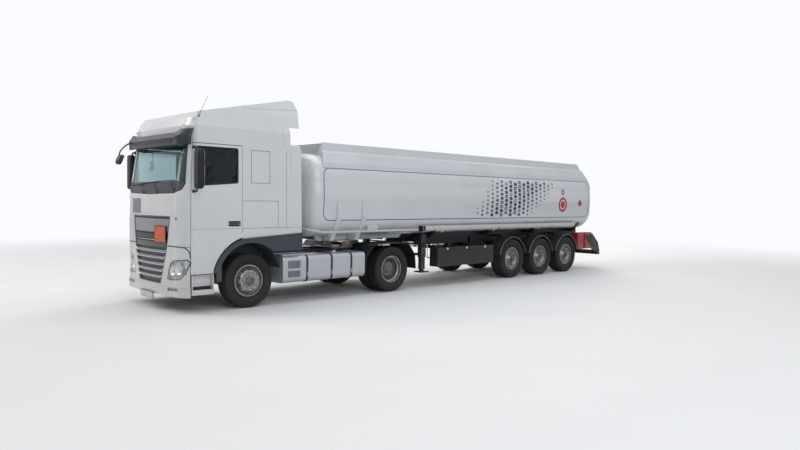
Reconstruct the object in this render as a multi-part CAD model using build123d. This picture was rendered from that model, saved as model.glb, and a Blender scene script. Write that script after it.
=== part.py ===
"""Articulated tanker truck: a two-axle tractor with a tall sleeper cab and a three-axle tank trailer."""
from build123d import *
import math
import os

# Frame: millimetres, +Z up, +X is the vehicle's left side, the front faces -Y, and the ground is Z = 0.
# The tractor's places count Y from the front axle, and the trailer's from the coupling pin.
# write() and haul() move each piece to the middle of the whole length.

# Overall lengths and heights
FRONT_END = -1650.0          # foremost point, the front mirror
WHEELBASE = 3600.0
CAB_HALF = 1245.0            # half the cab's width
CAB_BACK = 870.0             # outer face of the cab's back wall
CAB_BASE = 1180.0            # lower edge of the cab's walls
WINDSCREEN_FOOT = 2080.0     # where the upright front turns into the raked screen
ROOF_SEAM = 3000.0
ROOF_CREASE = 3450.0
ROOF_TOP = 3985.0
WALL = 60.0                  # whole thickness of a cab wall or door
GLASS = 12.0
GAP = 8.0                    # clearance round a door

# Tractor wheels
TYRE_R = 507.0
TYRE_W = 312.0
RIM_SEAT_R = 286.0
RIM_FLANGE_R = 299.0
FLANGE_T = 12.0
RIM_HALF = 125.0             # half the width over a tractor rim's flanges
TRAILER_RIM_HALF = 158.0
FRONT_WHEEL_X = 1040.0       # middle plane of a front tyre
DRIVE_OUTER_X = 1085.0       # middle plane of the outer drive tyre
TWIN_SPACING = TYRE_W + 38
STEER_X = 890.0              # steering pin
FIT = 0.3                    # gap between curved faces that meet

# Trailer wheels
TRAILER_TYRE_R = 520.0
TRAILER_TYRE_W = 385.0
TRAILER_WHEEL_X = 1052.0
AXLE_SPACING = 1310.0

# Coupling
KINGPIN_Y = WHEELBASE - 620
KINGPIN_R = 25.4             # two-inch pin
PIN_FIT = 0.08               # running clearance of a steering pin
PLATE_TOP = 1150.0           # bearing face of the coupling plate
PLATE_GAP = 1.0

# Tractor frame
RAIL_X = 385.0               # middle of a side rail
RAIL_W = 80.0
RAIL_LOW = 690.0
RAIL_TOP = 960.0
RAIL_WEB = 9.0
FRAME_FRONT = -1150.0
FRAME_END = WHEELBASE + 820

# Tank trailer, with Y from the coupling pin
TANK_HALF = 1250.0
TANK_TOP = 3000.0
TANK_LOW = 1230.0
TANK_SEAM = -1340.0          # where the front dished end begins
TANK_REAR_SEAM = 8900.0
DISH_DEPTH = 350.0
TANK_FRONT, TANK_REAR = TANK_SEAM - DISH_DEPTH, TANK_REAR_SEAM + DISH_DEPTH + 10
COAMING_TOP = 3225.0
TRAILER_RAIL_X = 500.0
TRAILER_RAIL_LOW = 960.0
TRAILER_RAIL_TOP = 1230.0
REAR_AXLE = TANK_REAR_SEAM - 1210
TRAILER_AXLES = (REAR_AXLE - 2 * AXLE_SPACING, REAR_AXLE - AXLE_SPACING, REAR_AXLE)
TRAILER_END = TANK_REAR_SEAM + 420
TRAILER_REAR = TRAILER_END + 280     # rearmost point, the underrun beam's side plates
MIDDLE = (FRONT_END + KINGPIN_Y + TRAILER_REAR) / 2


def block(x0, x1, y0, y1, z0, z1):
    """A box between two corners."""
    return Pos((x0 + x1) / 2, (y0 + y1) / 2, (z0 + z1) / 2) * Box(x1 - x0, y1 - y0, z1 - z0)


def rod(axis, r, start, end, a, b):
    """A round bar of radius r along X, Y or Z from start to end; a and b are its other two places."""
    middle, length = (start + end) / 2, end - start
    if axis == "X":
        return Pos(middle, a, b) * Rot(0, 90, 0) * Cylinder(r, length)
    if axis == "Y":
        return Pos(a, middle, b) * Rot(90, 0, 0) * Cylinder(r, length)
    return Pos(a, b, middle) * Cylinder(r, length)


def slab(axis, points, start, end):
    """A flat outline carried along X, Y or Z; the points hold the other two places in order."""
    number = "XYZ".index(axis)
    corners = []
    for a, b in points:
        corner = [a, b]
        corner.insert(number, start)
        corners.append(tuple(corner))
    way = [0, 0, 0]
    way[number] = 1
    return extrude(make_face(Polyline(corners, close=True)), amount=end - start, dir=tuple(way))


def left_right(shape):
    """The shape with its mirror image on the other side."""
    return Compound([shape, mirror(shape, about=Plane.YZ)])


def turned(profile, x, y, z):
    """A profile of (x, radius) points turned round a wheel's axle line through y and z."""
    outline = Polyline([(x + px, y, z + r) for px, r in profile], close=True)
    return revolve(make_face(outline), Axis((0, y, z), (1, 0, 0)), 360)


def bent_tube(points, radius, r, bore=0.0):
    """A round tube of outer radius r along a path with bends of one radius."""
    path = FilletPolyline(points, radius=radius)
    ring = Plane(path @ 0, z_dir=path % 0) * Circle(r)
    if bore:
        ring -= Plane(path @ 0, z_dir=path % 0) * Circle(bore)
    return sweep(ring, path)


def write(name, *shapes):
    """Writes a node's solids, placed from the front axle, to its own file."""
    solids = [solid for shape in shapes for solid in shape.solids()]
    export_step(Compound(solids).moved(Location((0, -MIDDLE, 0))), f"parts/{name}.step")


def haul(name, *shapes):
    """Writes a node of the trailer, whose solids are placed from the coupling pin."""
    write(name, *[Pos(0, KINGPIN_Y, 0) * shape for shape in shapes])


# Wheels: the rim is a shell turned round the axle, and the disc carries ten hand holes
HAND_HOLES = 10


def tyre(x, y, z, outer_r, width, rim_half):
    """A tyre with a rounded crown, bulging side walls and beads between the rim's flanges."""
    half = width / 2
    foot = rim_half - FLANGE_T - FIT
    bead = RIM_SEAT_R + FIT
    tip = outer_r - 9
    edges = []
    for way in (-1, 1):
        low = (x + way * foot, y, z + RIM_FLANGE_R + 6)
        high = (x + way * (half - 14), y, z + outer_r - 24)
        edges += [Line((x + way * foot, y, z + bead), low), Line(high, (x + way * (half - 27), y, z + tip)),
                  ThreePointArc(low, (x + way * half, y, z + outer_r - 118), high)]
    edges += [ThreePointArc((x - half + 27, y, z + tip), (x, y, z + outer_r), (x + half - 27, y, z + tip)),
              Line((x - foot, y, z + bead), (x + foot, y, z + bead))]
    return revolve(make_face(edges), Axis((0, y, z), (1, 0, 0)), 360)


def rim(x, y, z, half, disc_x, way):
    """A rim with flanges and a well; its disc meets the hub at disc_x and dishes the way given."""
    barrel = turned([(half, RIM_FLANGE_R), (half - FLANGE_T, RIM_FLANGE_R), (half - FLANGE_T, RIM_SEAT_R),
                     (half - 60, RIM_SEAT_R - 4), (half - 75, 262), (-half + 75, 262),
                     (-half + 60, RIM_SEAT_R - 4),
                     (-half + FLANGE_T, RIM_SEAT_R), (-half + FLANGE_T, RIM_FLANGE_R),
                     (-half, RIM_FLANGE_R), (-half, 276), (-half + 58, 272), (-half + 73, 250),
                     (half - 73, 250), (half - 58, 272), (half, 276)], x, y, z)
    foot = way * (half - 95)
    disc = turned([(foot, 252), (foot + way * 14, 252), (disc_x - way * 12, 205), (disc_x, 186),
                   (disc_x, HUB_BORE_R), (disc_x - way * 12, HUB_BORE_R), (disc_x - way * 12, 180),
                   (disc_x - way * 24, 198)], x, y, z)
    holes = [Pos(x, y, z) * Rot(i * 360 / HAND_HOLES, 0, 0) * Pos(disc_x - way * 20, 0, 213)
             * Rot(0, way * 38, 0) * Cylinder(23, 120) for i in range(HAND_HOLES)]
    return barrel + (disc - holes)


HUB_BORE_R = 140.0           # centre hole of the disc, filled by the hub's spigot
HUB_LIP = 12.0               # how far the hub reaches through the disc


def hub(x_inner, disc_x, way, y, z):
    """A wheel hub: a drum behind the disc and a spigot through its centre hole."""
    face = disc_x - way * 12
    low, high = sorted((x_inner, face))
    spigot = sorted((face, disc_x + way * HUB_LIP))
    return rod("X", 178, low, high, y, z) + rod("X", HUB_BORE_R, spigot[0], spigot[1], y, z)


SIDES = (("left", 1), ("right", -1))
FRONT_DISC = 155.0           # how far a front disc stands out from the tyre's middle plane
AXLE_PIN_R = 42.0            # stub axle inside a hub
RUN_FIT = 0.08               # running clearance of a wheel on its stub axle
os.makedirs("parts", exist_ok=True)

for side, s in SIDES:
    x = s * FRONT_WHEEL_X
    write(f"front_tyre_{side}", tyre(x, 0, TYRE_R, TYRE_R, TYRE_W, RIM_HALF))
    wheel = rim(x, 0, TYRE_R, RIM_HALF, s * FRONT_DISC, s)
    drum = hub(s * 985, x + s * FRONT_DISC, s, 0, TYRE_R)
    bore = rod("X", AXLE_PIN_R + RUN_FIT, *sorted((s * 980, s * 1150)), 0, TYRE_R)
    write(f"front_rim_{side}", wheel + (drum - bore))

    outer, inner = s * DRIVE_OUTER_X, s * (DRIVE_OUTER_X - TWIN_SPACING)
    meet = (outer + inner) / 2
    twins = [tyre(place, WHEELBASE, TYRE_R, TYRE_R, TYRE_W, RIM_HALF) for place in (outer, inner)]
    write(f"drive_tyres_{side}", *twins)
    discs = rim(outer, WHEELBASE, TYRE_R, RIM_HALF, meet + s * 0.05 - outer, -s)
    discs += rim(inner, WHEELBASE, TYRE_R, RIM_HALF, meet - s * 0.05 - inner, s)
    spindle = rod("X", 150, *sorted((meet - s * 60, meet + s * 175)), WHEELBASE, TYRE_R)
    bore = rod("X", AXLE_PIN_R + RUN_FIT, *sorted((meet - s * 65, meet + s * 120)), WHEELBASE, TYRE_R)
    write(f"drive_rims_{side}", discs + (spindle - bore))

    for number, place in enumerate(TRAILER_AXLES, 1):
        x = s * TRAILER_WHEEL_X
        wheel = rim(x, place, TRAILER_TYRE_R, TRAILER_RIM_HALF, s * 60, s)
        drum = hub(s * 890, x + s * 60, s, place, TRAILER_TYRE_R)
        cap = rod("X", 70, *sorted((x + s * 50, x + s * 130)), place, TRAILER_TYRE_R)
        bore = rod("X", AXLE_PIN_R + RUN_FIT, *sorted((s * 885, x + s * 40)), place, TRAILER_TYRE_R)
        wide = tyre(x, place, TRAILER_TYRE_R, TRAILER_TYRE_R, TRAILER_TYRE_W, TRAILER_RIM_HALF)
        haul(f"trailer_wheel_{number}_{side}", wide + wheel + (drum + cap - bore))

# Steering knuckles turn on upright pins; each carries a stub axle for its wheel
PIN_R = 20.0
EYE_R = 33.0
EYE_LOW, EYE_HIGH = 400.0, 520.0     # the axle beam's eye round the pin
BEAM_GAP = 1.0
for side, s in SIDES:
    stub = rod("X", AXLE_PIN_R, *sorted((s * (STEER_X + 40), s * 1140)), 0, TYRE_R)
    flange = rod("X", 95, *sorted((s * (STEER_X + 42), s * (STEER_X + 72))), 0, TYRE_R)
    back = block(*sorted((s * (STEER_X + 40), s * (STEER_X + 60))), -45, 45, 340, 620)
    ears = Compound([])
    for low, high in ((340, EYE_LOW - BEAM_GAP), (EYE_HIGH + BEAM_GAP, 620)):
        ears += block(*sorted((s * STEER_X, s * (STEER_X + 45))), -45, 45, low, high)
        ears += rod("Z", 45, low, high, s * STEER_X, 0)
    pin = rod("Z", PIN_R, 340, 620, s * STEER_X, 0)
    arm = slab("Z", [(s * (STEER_X - 20), 40), (s * (STEER_X + 25), 40), (s * (STEER_X - 35), 205),
                     (s * (STEER_X - 75), 205)], 345, 370)
    write(f"knuckle_{side}", stub + flange + back + ears + pin + arm)

# Front axle: a dropped beam with an eye at each end, on two leaf springs under the rails
beam = slab("Y", [(-STEER_X, EYE_LOW), (-620, 400), (-520, 330), (520, 330), (620, 400), (STEER_X, EYE_LOW),
                  (STEER_X, EYE_HIGH), (600, EYE_HIGH), (500, 440), (-500, 440), (-600, EYE_HIGH),
                  (-STEER_X, EYE_HIGH)], -45, 45)
for s in (1, -1):
    beam += rod("Z", EYE_R, EYE_LOW, EYE_HIGH, s * STEER_X, 0)
    beam -= rod("Z", PIN_R + PIN_FIT, EYE_LOW - 1, EYE_HIGH + 1, s * STEER_X, 0)
springs = Compound([])
SPRING_REACH = 820.0
for s in (1, -1):
    x = s * RAIL_X
    leaf = make_face(Polyline((x - 38, -SPRING_REACH, 640), (x - 38, 0, 462), (x - 38, SPRING_REACH, 640))
                     + Line((x - 38, SPRING_REACH, 640), (x - 38, SPRING_REACH, 665))
                     + Polyline((x - 38, SPRING_REACH, 665), (x - 38, 0, 498), (x - 38, -SPRING_REACH, 665))
                     + Line((x - 38, -SPRING_REACH, 665), (x - 38, -SPRING_REACH, 640)))
    springs += extrude(leaf, amount=76, dir=(1, 0, 0))
    springs += block(x - 50, x + 50, -90, 90, 440, 470)
    for end in (-1, 1):
        springs += block(x - 20, x + 20, end * SPRING_REACH - 30, end * SPRING_REACH + 30, 645, RAIL_LOW)
write("front_axle", beam + springs)

# Drive axle: a banjo housing between tapered arms, with the propeller shaft that turns it
housing = Pos(0, WHEELBASE, TYRE_R) * Sphere(205)
housing += rod("Y", 120, WHEELBASE - 330, WHEELBASE, 0, TYRE_R)
for s in (1, -1):
    meet = s * (DRIVE_OUTER_X - TWIN_SPACING / 2)
    housing += rod("X", 75, *sorted((0, meet - s * 85)), WHEELBASE, TYRE_R)
    housing += rod("X", 190, *sorted((meet - s * 84, meet - s * 68)), WHEELBASE, TYRE_R)
    housing += rod("X", AXLE_PIN_R, *sorted((meet - s * 90, meet + s * 110)), WHEELBASE, TYRE_R)
    air_x = RAIL_X + 70          # an air spring stands outboard of the rail
    housing += block(*sorted((s * (air_x - 55), s * (air_x + 55))), WHEELBASE - 420, WHEELBASE + 420, 395, 430)
    for y in (WHEELBASE - 360, WHEELBASE + 360):
        housing += rod("Z", 100, 430, 640, s * air_x, y)
        housing += block(*sorted((s * (RAIL_X - 20), s * (air_x + 85))), y - 60, y + 60, 640, RAIL_LOW)
shaft = rod("Y", 50, 1480, WHEELBASE - 330, 0, TYRE_R + 60)
write("drive_axle", housing + shaft)

# Tractor frame: two channel rails with cross members, a coupling bed, and brackets for the cab
frame = Compound([])
for s in (1, -1):
    x = s * RAIL_X
    rail = block(x - RAIL_W / 2, x + RAIL_W / 2, FRAME_FRONT, FRAME_END, RAIL_LOW, RAIL_TOP)
    rail -= block(*sorted((x - s * RAIL_W / 2 - s, x + s * (RAIL_W / 2 - RAIL_WEB))), FRAME_FRONT - 1,
                  FRAME_END + 1, RAIL_LOW + RAIL_WEB, RAIL_TOP - RAIL_WEB)
    frame += rail
CROSS_MEMBERS = (-1100.0, 1500.0, WHEELBASE - 1150, WHEELBASE - 400, WHEELBASE + 400, FRAME_END - 60)
INNER = RAIL_X + RAIL_W / 2 - RAIL_WEB
for y in CROSS_MEMBERS:
    frame += block(-INNER, INNER, y - 45, y + 45, RAIL_LOW + 60, RAIL_TOP - 60)
# Angle brackets carry the tank rows, the cab's mounts and the mudguards
for y in (1000.0, 1600.0, 2200.0):
    for s in (1, -1):
        frame += block(*sorted((s * (RAIL_X + 35), s * 640)), y - 35, y + 35, RAIL_LOW + 20, RAIL_TOP - 20)
for y in (-1060.0, 640.0):
    for s in (1, -1):
        frame += block(*sorted((s * (RAIL_X - 40), s * (RAIL_X + 40))), y - 70, y + 70, RAIL_TOP, CAB_BASE + 60)
# A walking deck lies across the rails behind the cab
DECK_T = 14.0
frame += block(-RAIL_X, RAIL_X, 1240, 2040, RAIL_TOP, RAIL_TOP + DECK_T)
write("tractor_frame", frame)

# Engine and gearbox, the heavy mass between the rails, as one plain block
ENGINE_HALF, GEARBOX_HALF = RAIL_X - 55, 230.0
engine = block(-ENGINE_HALF, ENGINE_HALF, -820, 180, 640, 1140)
write("engine_block", engine + block(-GEARBOX_HALF, GEARBOX_HALF, 180, 1420, 560, 930))

# Coupling plate: a round-backed horseshoe with a throat that the trailer's pin rests in
PLATE_R = 455.0
plate = rod("Z", PLATE_R, PLATE_TOP - 45, PLATE_TOP, 0, KINGPIN_Y)
plate -= block(-PLATE_R - 1, PLATE_R + 1, KINGPIN_Y + 300, KINGPIN_Y + PLATE_R + 1, PLATE_TOP - 46,
               PLATE_TOP + 1)
plate -= slab("Z", [(-KINGPIN_R - 1, KINGPIN_Y), (KINGPIN_R + 1, KINGPIN_Y), (170, KINGPIN_Y + 301),
                    (-170, KINGPIN_Y + 301)], PLATE_TOP - 46, PLATE_TOP + 1)
plate -= rod("Z", KINGPIN_R + FIT, PLATE_TOP - 90, PLATE_TOP + 1, 0, KINGPIN_Y)
bed = block(-(RAIL_X + 60), RAIL_X + 60, KINGPIN_Y - 260, KINGPIN_Y + 260, RAIL_TOP, RAIL_TOP + 24)
for s in (1, -1):
    bed += slab("X", [(KINGPIN_Y - 180, RAIL_TOP + 24), (KINGPIN_Y + 180, RAIL_TOP + 24),
                      (KINGPIN_Y + 70, PLATE_TOP - 45), (KINGPIN_Y - 70, PLATE_TOP - 45)],
                *sorted((s * 330, s * 380)))
write("coupling_plate", plate + bed)

# Cab: each level is an outline with a bowed front, arched corners and straight sides
# Columns: height, front, half width, where the corner meets the side
CAB_FRONT = -1390.0
LEVELS = {"foot": (CAB_BASE, CAB_FRONT, CAB_HALF, -1120.0),
          "screen": (WINDSCREEN_FOOT, CAB_FRONT, CAB_HALF, -1120.0),
          "seam": (ROOF_SEAM, -1240.0, 1235.0, -1075.0), "brow": (3300.0, -1235.0, 1215.0, -1070.0),
          "crease": (ROOF_CREASE, -1170.0, 1150.0, -1030.0)}
FRONT_FLAT = 900.0           # half the width of the bowed front
BOW = 55.0
DIAGONAL = math.sqrt(0.5)


def outline(z, front, half, corner, inset=0.0, back=CAB_BACK):
    """One level of the cab as a face at height z, drawn in by inset."""
    f, w, b = front + inset, half - inset, back - inset
    ax, ay = FRONT_FLAT, f + BOW
    mx, my = ax + (w - ax) * DIAGONAL, corner - (corner - ay) * DIAGONAL
    front_arc = ThreePointArc((-ax, ay, z), (0, f, z), (ax, ay, z))
    corners = [ThreePointArc((ax, ay, z), (mx, my, z), (w, corner, z)),
               ThreePointArc((-w, corner, z), (-mx, my, z), (-ax, ay, z))]
    back_line = Polyline([(w, corner, z), (w, b, z), (-w, b, z), (-w, corner, z)])
    return make_face([front_arc, *corners, back_line])


def level(name, inset=0.0, z=None):
    """A named level's outline, at its own height or at z."""
    height, front, half, corner = LEVELS[name]
    return outline(height if z is None else z, front, half, corner, inset)


def cab_form(inset, low=CAB_BASE):
    """The cab below the roof: upright to the windscreen's foot, then raked."""
    upright = extrude(level("foot", inset, low), amount=WINDSCREEN_FOOT - low, dir=(0, 0, 1))
    return upright + loft([level("screen", inset), level("seam", inset)], ruled=True)


def skin(outer, inner, low, high):
    """A wall of the upright front between two heights and two insets."""
    rise = high - low
    return (extrude(level("foot", outer, low), amount=rise, dir=(0, 0, 1))
            - extrude(level("foot", inner, low - 1), amount=rise + 2, dir=(0, 0, 1)))


# Openings in the cab's sides and front
DOOR_FRONT, DOOR_BACK = -1178.0, -192.0
DOOR_TOP_FRONT = -1128.0     # the front edge leans back beside the raked screen
DOOR_LOW, DOOR_TOP = 700.0, 2988.0
WINDOW_FRONT, WINDOW_BACK = -1095.0, -272.0
WINDOW_LOW, WINDOW_REAR_LOW, WINDOW_TOP = 2240.0, 2312.0, 2940.0
ARCH_Z, ARCH_R, ARCH_INNER_R = 527.0, 790.0, 693.0
FLOOR_LOW = 1385.0
FLOOR = 60.0
DOOR_IN = 1060.0             # the doorway is cut this far in from the sides
SCREEN_LOW, SCREEN_TOP = 2105.0, 2955.0
GRILLE_TOP, GRILLE_LOW = 1700.0, 490.0
GRILLE_OUTLINE = [(-770, GRILLE_TOP), (770, GRILLE_TOP), (660, 1100), (450, GRILLE_LOW), (-450, GRILLE_LOW),
                  (-660, 1100)]
SCREEN_OUTLINE = [(0, SCREEN_LOW), (900, SCREEN_LOW + 20), (1085, SCREEN_LOW + 75),
                  (1130, SCREEN_LOW + 170), (1085, SCREEN_TOP), (0, SCREEN_TOP)]
SCREEN_OUTLINE += [(-x, z) for x, z in reversed(SCREEN_OUTLINE[1:-1])]
screen_hole = slab("Y", SCREEN_OUTLINE, -1500, -1000)
grille_hole = slab("Y", GRILLE_OUTLINE, -1500, -1200)

hollow = cab_form(WALL, CAB_BASE - 1)
hollow -= block(-CAB_HALF, CAB_HALF, -1500, CAB_BACK, FLOOR_LOW, FLOOR_LOW + FLOOR)
shell = cab_form(0) - hollow
ceiling = extrude(level("seam", WALL, ROOF_SEAM - 12), amount=13, dir=(0, 0, 1))
shell -= ceiling
doorway = slab("X", [(DOOR_FRONT - GAP, CAB_BASE - 1), (DOOR_FRONT - GAP, WINDSCREEN_FOOT),
                     (DOOR_TOP_FRONT - GAP, DOOR_TOP), (DOOR_TOP_FRONT - GAP, ROOF_SEAM + 1),
                     (DOOR_BACK + GAP, ROOF_SEAM + 1), (DOOR_BACK + GAP, CAB_BASE - 1)], DOOR_IN, CAB_HALF + 20)
shell -= doorway + mirror(doorway, about=Plane.YZ)
shell -= block(-CAB_HALF - 1, CAB_HALF + 1, DOOR_BACK, CAB_BACK + 1, CAB_BASE - 1, FLOOR_LOW)
shell -= screen_hole + grille_hole
# Pressed lines on the sleeper's sides, shallow grooves. Columns: front, back, low, high
PANEL_LINE, SLEEPER_END = 1492.0, 770.0
PRESSED = [(-5, 402, 2320, 2329), (-5, 402, 2921, 2930), (-5, 4, 2320, 2930), (393, 402, 2320, 2930),
           (DOOR_BACK + GAP, 593, 1990, 1997), (586, 593, PANEL_LINE, 1997),
           (DOOR_BACK + GAP, CAB_BACK, PANEL_LINE - 7, PANEL_LINE),
           (SLEEPER_END, SLEEPER_END + 7, PANEL_LINE, ROOF_SEAM)]
PRESS = 5.0
lines = Compound([])
for y0, y1, z0, z1 in PRESSED:
    lines += block(1150, 1300, y0, y1, z0, z1)
shell -= left_right(lines) - cab_form(PRESS)
write("cab_shell", shell)
screen = loft([level("screen"), level("seam")], ruled=True)
screen -= loft([level("screen", GLASS), level("seam", GLASS)], ruled=True)
write("windscreen", screen & screen_hole)

# Roof: a brow over the screen, sides that fold in at the crease, and a hump that rises to the rear
HUMP_BACK = 1185.0
HUMP_SIDE = [(-1150, 3425), (-1060, 3640), (-900, ROOF_TOP), (900, ROOF_TOP), (1060, 3640), (1150, 3425)]


def roof_form(inset):
    """The whole roof drawn in by inset."""
    levels = [level("seam", inset), level("brow", inset), level("crease", inset, ROOF_CREASE - inset)]
    low = loft(levels[:2], ruled=True) + loft(levels[1:], ruled=True)
    side = [(-1090 + inset, 3425), (-1000 + inset, 3560 - inset), (1010, ROOF_TOP - inset),
            (1130, ROOF_TOP - 15 - inset), (HUMP_BACK, 3790), (1115, 3425)]
    front = [(x - math.copysign(inset, x), z - (inset if z == ROOF_TOP else 0)) for x, z in HUMP_SIDE]
    hump = slab("X", side, -1200, 1200) & slab("Y", front, -1200, 1300)
    return low + hump


ROOF_WALL = 40.0
roof = roof_form(0) - roof_form(ROOF_WALL)
roof -= block(-1100, 1100, CAB_BACK, HUMP_BACK + 1, 3400, 3440)
# The spoiler's seam climbs forward on each side, and the roof moulding ends in an upright line
seam = slab("X", [(-303, 3846), (-140, 3775), (64, 3711), (1200, 3795), (1200, 3803), (64, 3720), (-137, 3784),
                  (-300, 3855)], 600, 1200)
seam += block(1100, 1300, 700, 708, ROOF_SEAM + 25, 3400)
roof -= left_right(seam) - roof_form(6)
write("cab_roof", roof)

# Doors, each with its glass; the hinge line is at the outer skin of the front edge
sill_end, arch_end = (0, -760, ARCH_Z + 230), (0, DOOR_BACK, ARCH_Z + ARCH_R)
door_side = make_face(Polyline([(0, DOOR_FRONT, DOOR_LOW), (0, -760, DOOR_LOW), sill_end])
                      + ThreePointArc(sill_end, (0, -560, ARCH_Z + 570), arch_end)
                      + Polyline([arch_end, (0, DOOR_BACK, DOOR_TOP), (0, DOOR_TOP_FRONT, DOOR_TOP),
                                  (0, DOOR_FRONT, WINDSCREEN_FOOT), (0, DOOR_FRONT, DOOR_LOW)]))
window = slab("X", [(WINDOW_FRONT, WINDOW_LOW), (WINDOW_BACK, WINDOW_REAR_LOW), (WINDOW_BACK, WINDOW_TOP),
                    (WINDOW_FRONT, WINDOW_TOP)], 1000, 1300)
door_form = (cab_form(0, DOOR_LOW) - cab_form(WALL, DOOR_LOW - 1))
door = (door_form & Pos(DOOR_IN, 0, 0) * extrude(door_side, amount=250, dir=(1, 0, 0))) - window
handle = block(1200, 1260, -470, -216, 1525, 1625)
door -= handle
door += block(1218, 1232, -471, -215, 1560, 1590) + block(1195, 1205, -480, -206, 1515, 1635)
pane = window & slab("X", [(WINDOW_FRONT, WINDOW_LOW), (WINDOW_BACK, WINDOW_LOW), (WINDOW_BACK, WINDOW_TOP),
                           (WINDOW_FRONT, WINDOW_TOP)], 1195, 1203)

# Main mirror: a tall housing on two arms from the door's front corner
MIRROR_X0, MIRROR_X1 = 1325.0, 1545.0
case = slab("Z", [(MIRROR_X0, -1085), (MIRROR_X1 - 30, -1085), (MIRROR_X1, -1110), (MIRROR_X1 - 25, -1180),
                  (MIRROR_X0 + 25, -1200), (MIRROR_X0, -1160)], 2190, 2880)
arms = Compound([])
for z in (2150.0, 2915.0):
    arms += block(CAB_HALF - 20, MIRROR_X0 + 70, -1160, -1125, z - 16, z + 16)
    reach = 45 if z < 2500 else -45
    arms += block(MIRROR_X0 + 35, MIRROR_X0 + 70, -1160, -1125, *sorted((z, z + reach)))
arms -= cab_form(0, DOOR_LOW)
for side, s in SIDES:
    flip = (lambda shape: shape) if s == 1 else (lambda shape: mirror(shape, about=Plane.YZ))
    write(f"door_{side}", flip(door))
    write(f"door_glass_{side}", flip(pane))
    write(f"mirror_{side}", flip(case + arms))

# Bumper: the cab's outline carried down, with a lip, cut for the grille, lamps and fog lamps
BUMPER_LOW, BUMPER_TOP = 290.0, CAB_BASE - 8
LIP_TOP = 455.0
SIDE_END = -1190.0           # where the bumper's sides end, ahead of the doors
LAMP = [(690, 590), (735, 770), (795, 880), (865, 925), (945, 942), (1195, 965), (1226, 900), (1170, 700),
        (1080, 605), (860, 582)]
FOG = [(700, 385), (1100, 402), (1080, 452), (712, 438)]
bumper = skin(0, WALL, LIP_TOP, BUMPER_TOP) + skin(-12, WALL, BUMPER_LOW, LIP_TOP)
bumper &= block(-1300, 1300, -1500, SIDE_END, 0, 1300)
bumper -= grille_hole
lamp_hole = left_right(slab("Y", LAMP, -1500, SIDE_END - 6))
fog_hole = left_right(slab("Y", FOG, -1500, SIDE_END - 6))
bumper -= lamp_hole + fog_hole
bumper += block(-600, 600, -1340, -1180, 330, 420)
for s in (1, -1):
    bumper += block(*sorted((s * 345, s * 425)), -1320, -1150, 700, 900)
    bumper += block(*sorted((s * 345, s * 590)), -1318, -1290, 700, 760)
write("bumper", bumper)
# Each headlight is a clear lens ahead of a dark back plate; the fog lamps below are one piece each
LENS = 8.0
lamps = (skin(2, 2 + LENS, 560, 980) & lamp_hole) + (skin(WALL - 6, WALL, 560, 980) & lamp_hole)
lamps += skin(6, WALL - 10, 370, 454) & fog_hole
write("headlights", lamps)

# Grille: a dark backing behind a top panel and five slats that follow the bowed front
inside = slab("Y", [(x * 0.985, z) for x, z in GRILLE_OUTLINE], -1500, -1200)
SLATS = ((1075, 26), (960, 26), (845, 26), (730, 26), (615, 26))     # height of the middle, half height
grille = skin(32, 50, GRILLE_LOW, GRILLE_TOP) & grille_hole
grille += skin(6, 40, 1395, 1660) & inside
for z, half in SLATS:
    grille += skin(2, 40, z - half, z + half) & inside
write("grille", grille)

# Sun visor: a smoked strip ahead of the screen's top, on three brackets
VISOR_LOW, VISOR_TOP = 2925.0, 3250.0
VISOR_T = 14.0


def visor_form(inset):
    """The visor's wrap-round form, which leans back towards its top."""
    low = outline(VISOR_LOW, -1462.0, 1225.0, -1080.0, inset)
    return loft([low, outline(VISOR_TOP, -1412.0, 1225.0, -1080.0, inset)], ruled=True)


visor = visor_form(0) - visor_form(VISOR_T)
visor &= slab("X", [(-1500, VISOR_LOW), (-1300, VISOR_LOW - 1), (-1150, 3010), (-1065, 3150), (-1065, 3240),
                    (-1150, VISOR_TOP + 1), (-1500, VISOR_TOP - 40)], -1300, 1300)
for x in (-700.0, 0.0, 700.0):
    visor += block(x - 15, x + 15, -1425, -1178, 3140, 3170)
visor -= roof_form(0)
write("sun_visor", visor)

# Front mirror on the right corner, hung from the visor's level
FRONT_MIRROR_X = -880.0
front_mirror = slab("X", [(FRONT_END, 2660), (FRONT_END + 40, 2640), (-1520, 2790), (-1545, 2830),
                          (-1600, 2830)], FRONT_MIRROR_X - 110, FRONT_MIRROR_X + 110)
front_mirror += slab("X", [(-1575, 2790), (-1545, 2790), (-1275, 2985), (-1195, 3060), (-1195, 3100),
                           (-1290, 3020)], FRONT_MIRROR_X - 20, FRONT_MIRROR_X + 20)
front_mirror -= roof_form(0) + visor
write("front_mirror", front_mirror)

# Side fairings close the gap behind the cab
FAIRING = 26.0
edge = [(CAB_BACK + FIT, FLOOR_LOW), (1137, FLOOR_LOW), (1105, 2980), (1050, 3420), (CAB_BACK + FIT, 3420)]
fairing = slab("X", edge, CAB_HALF - FAIRING, CAB_HALF)
fairing -= slab("Y", [(1300, 3000), (1235, 3000), (1150, 3425), (1300, 3425)], 800, 1300)
fairing += slab("Z", [(CAB_HALF - 90, CAB_BACK + FIT), (CAB_HALF - FAIRING, CAB_BACK + FIT),
                      (CAB_HALF - FAIRING, CAB_BACK + 90)], FLOOR_LOW, 2980)
write("side_fairings", left_right(fairing))

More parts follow.
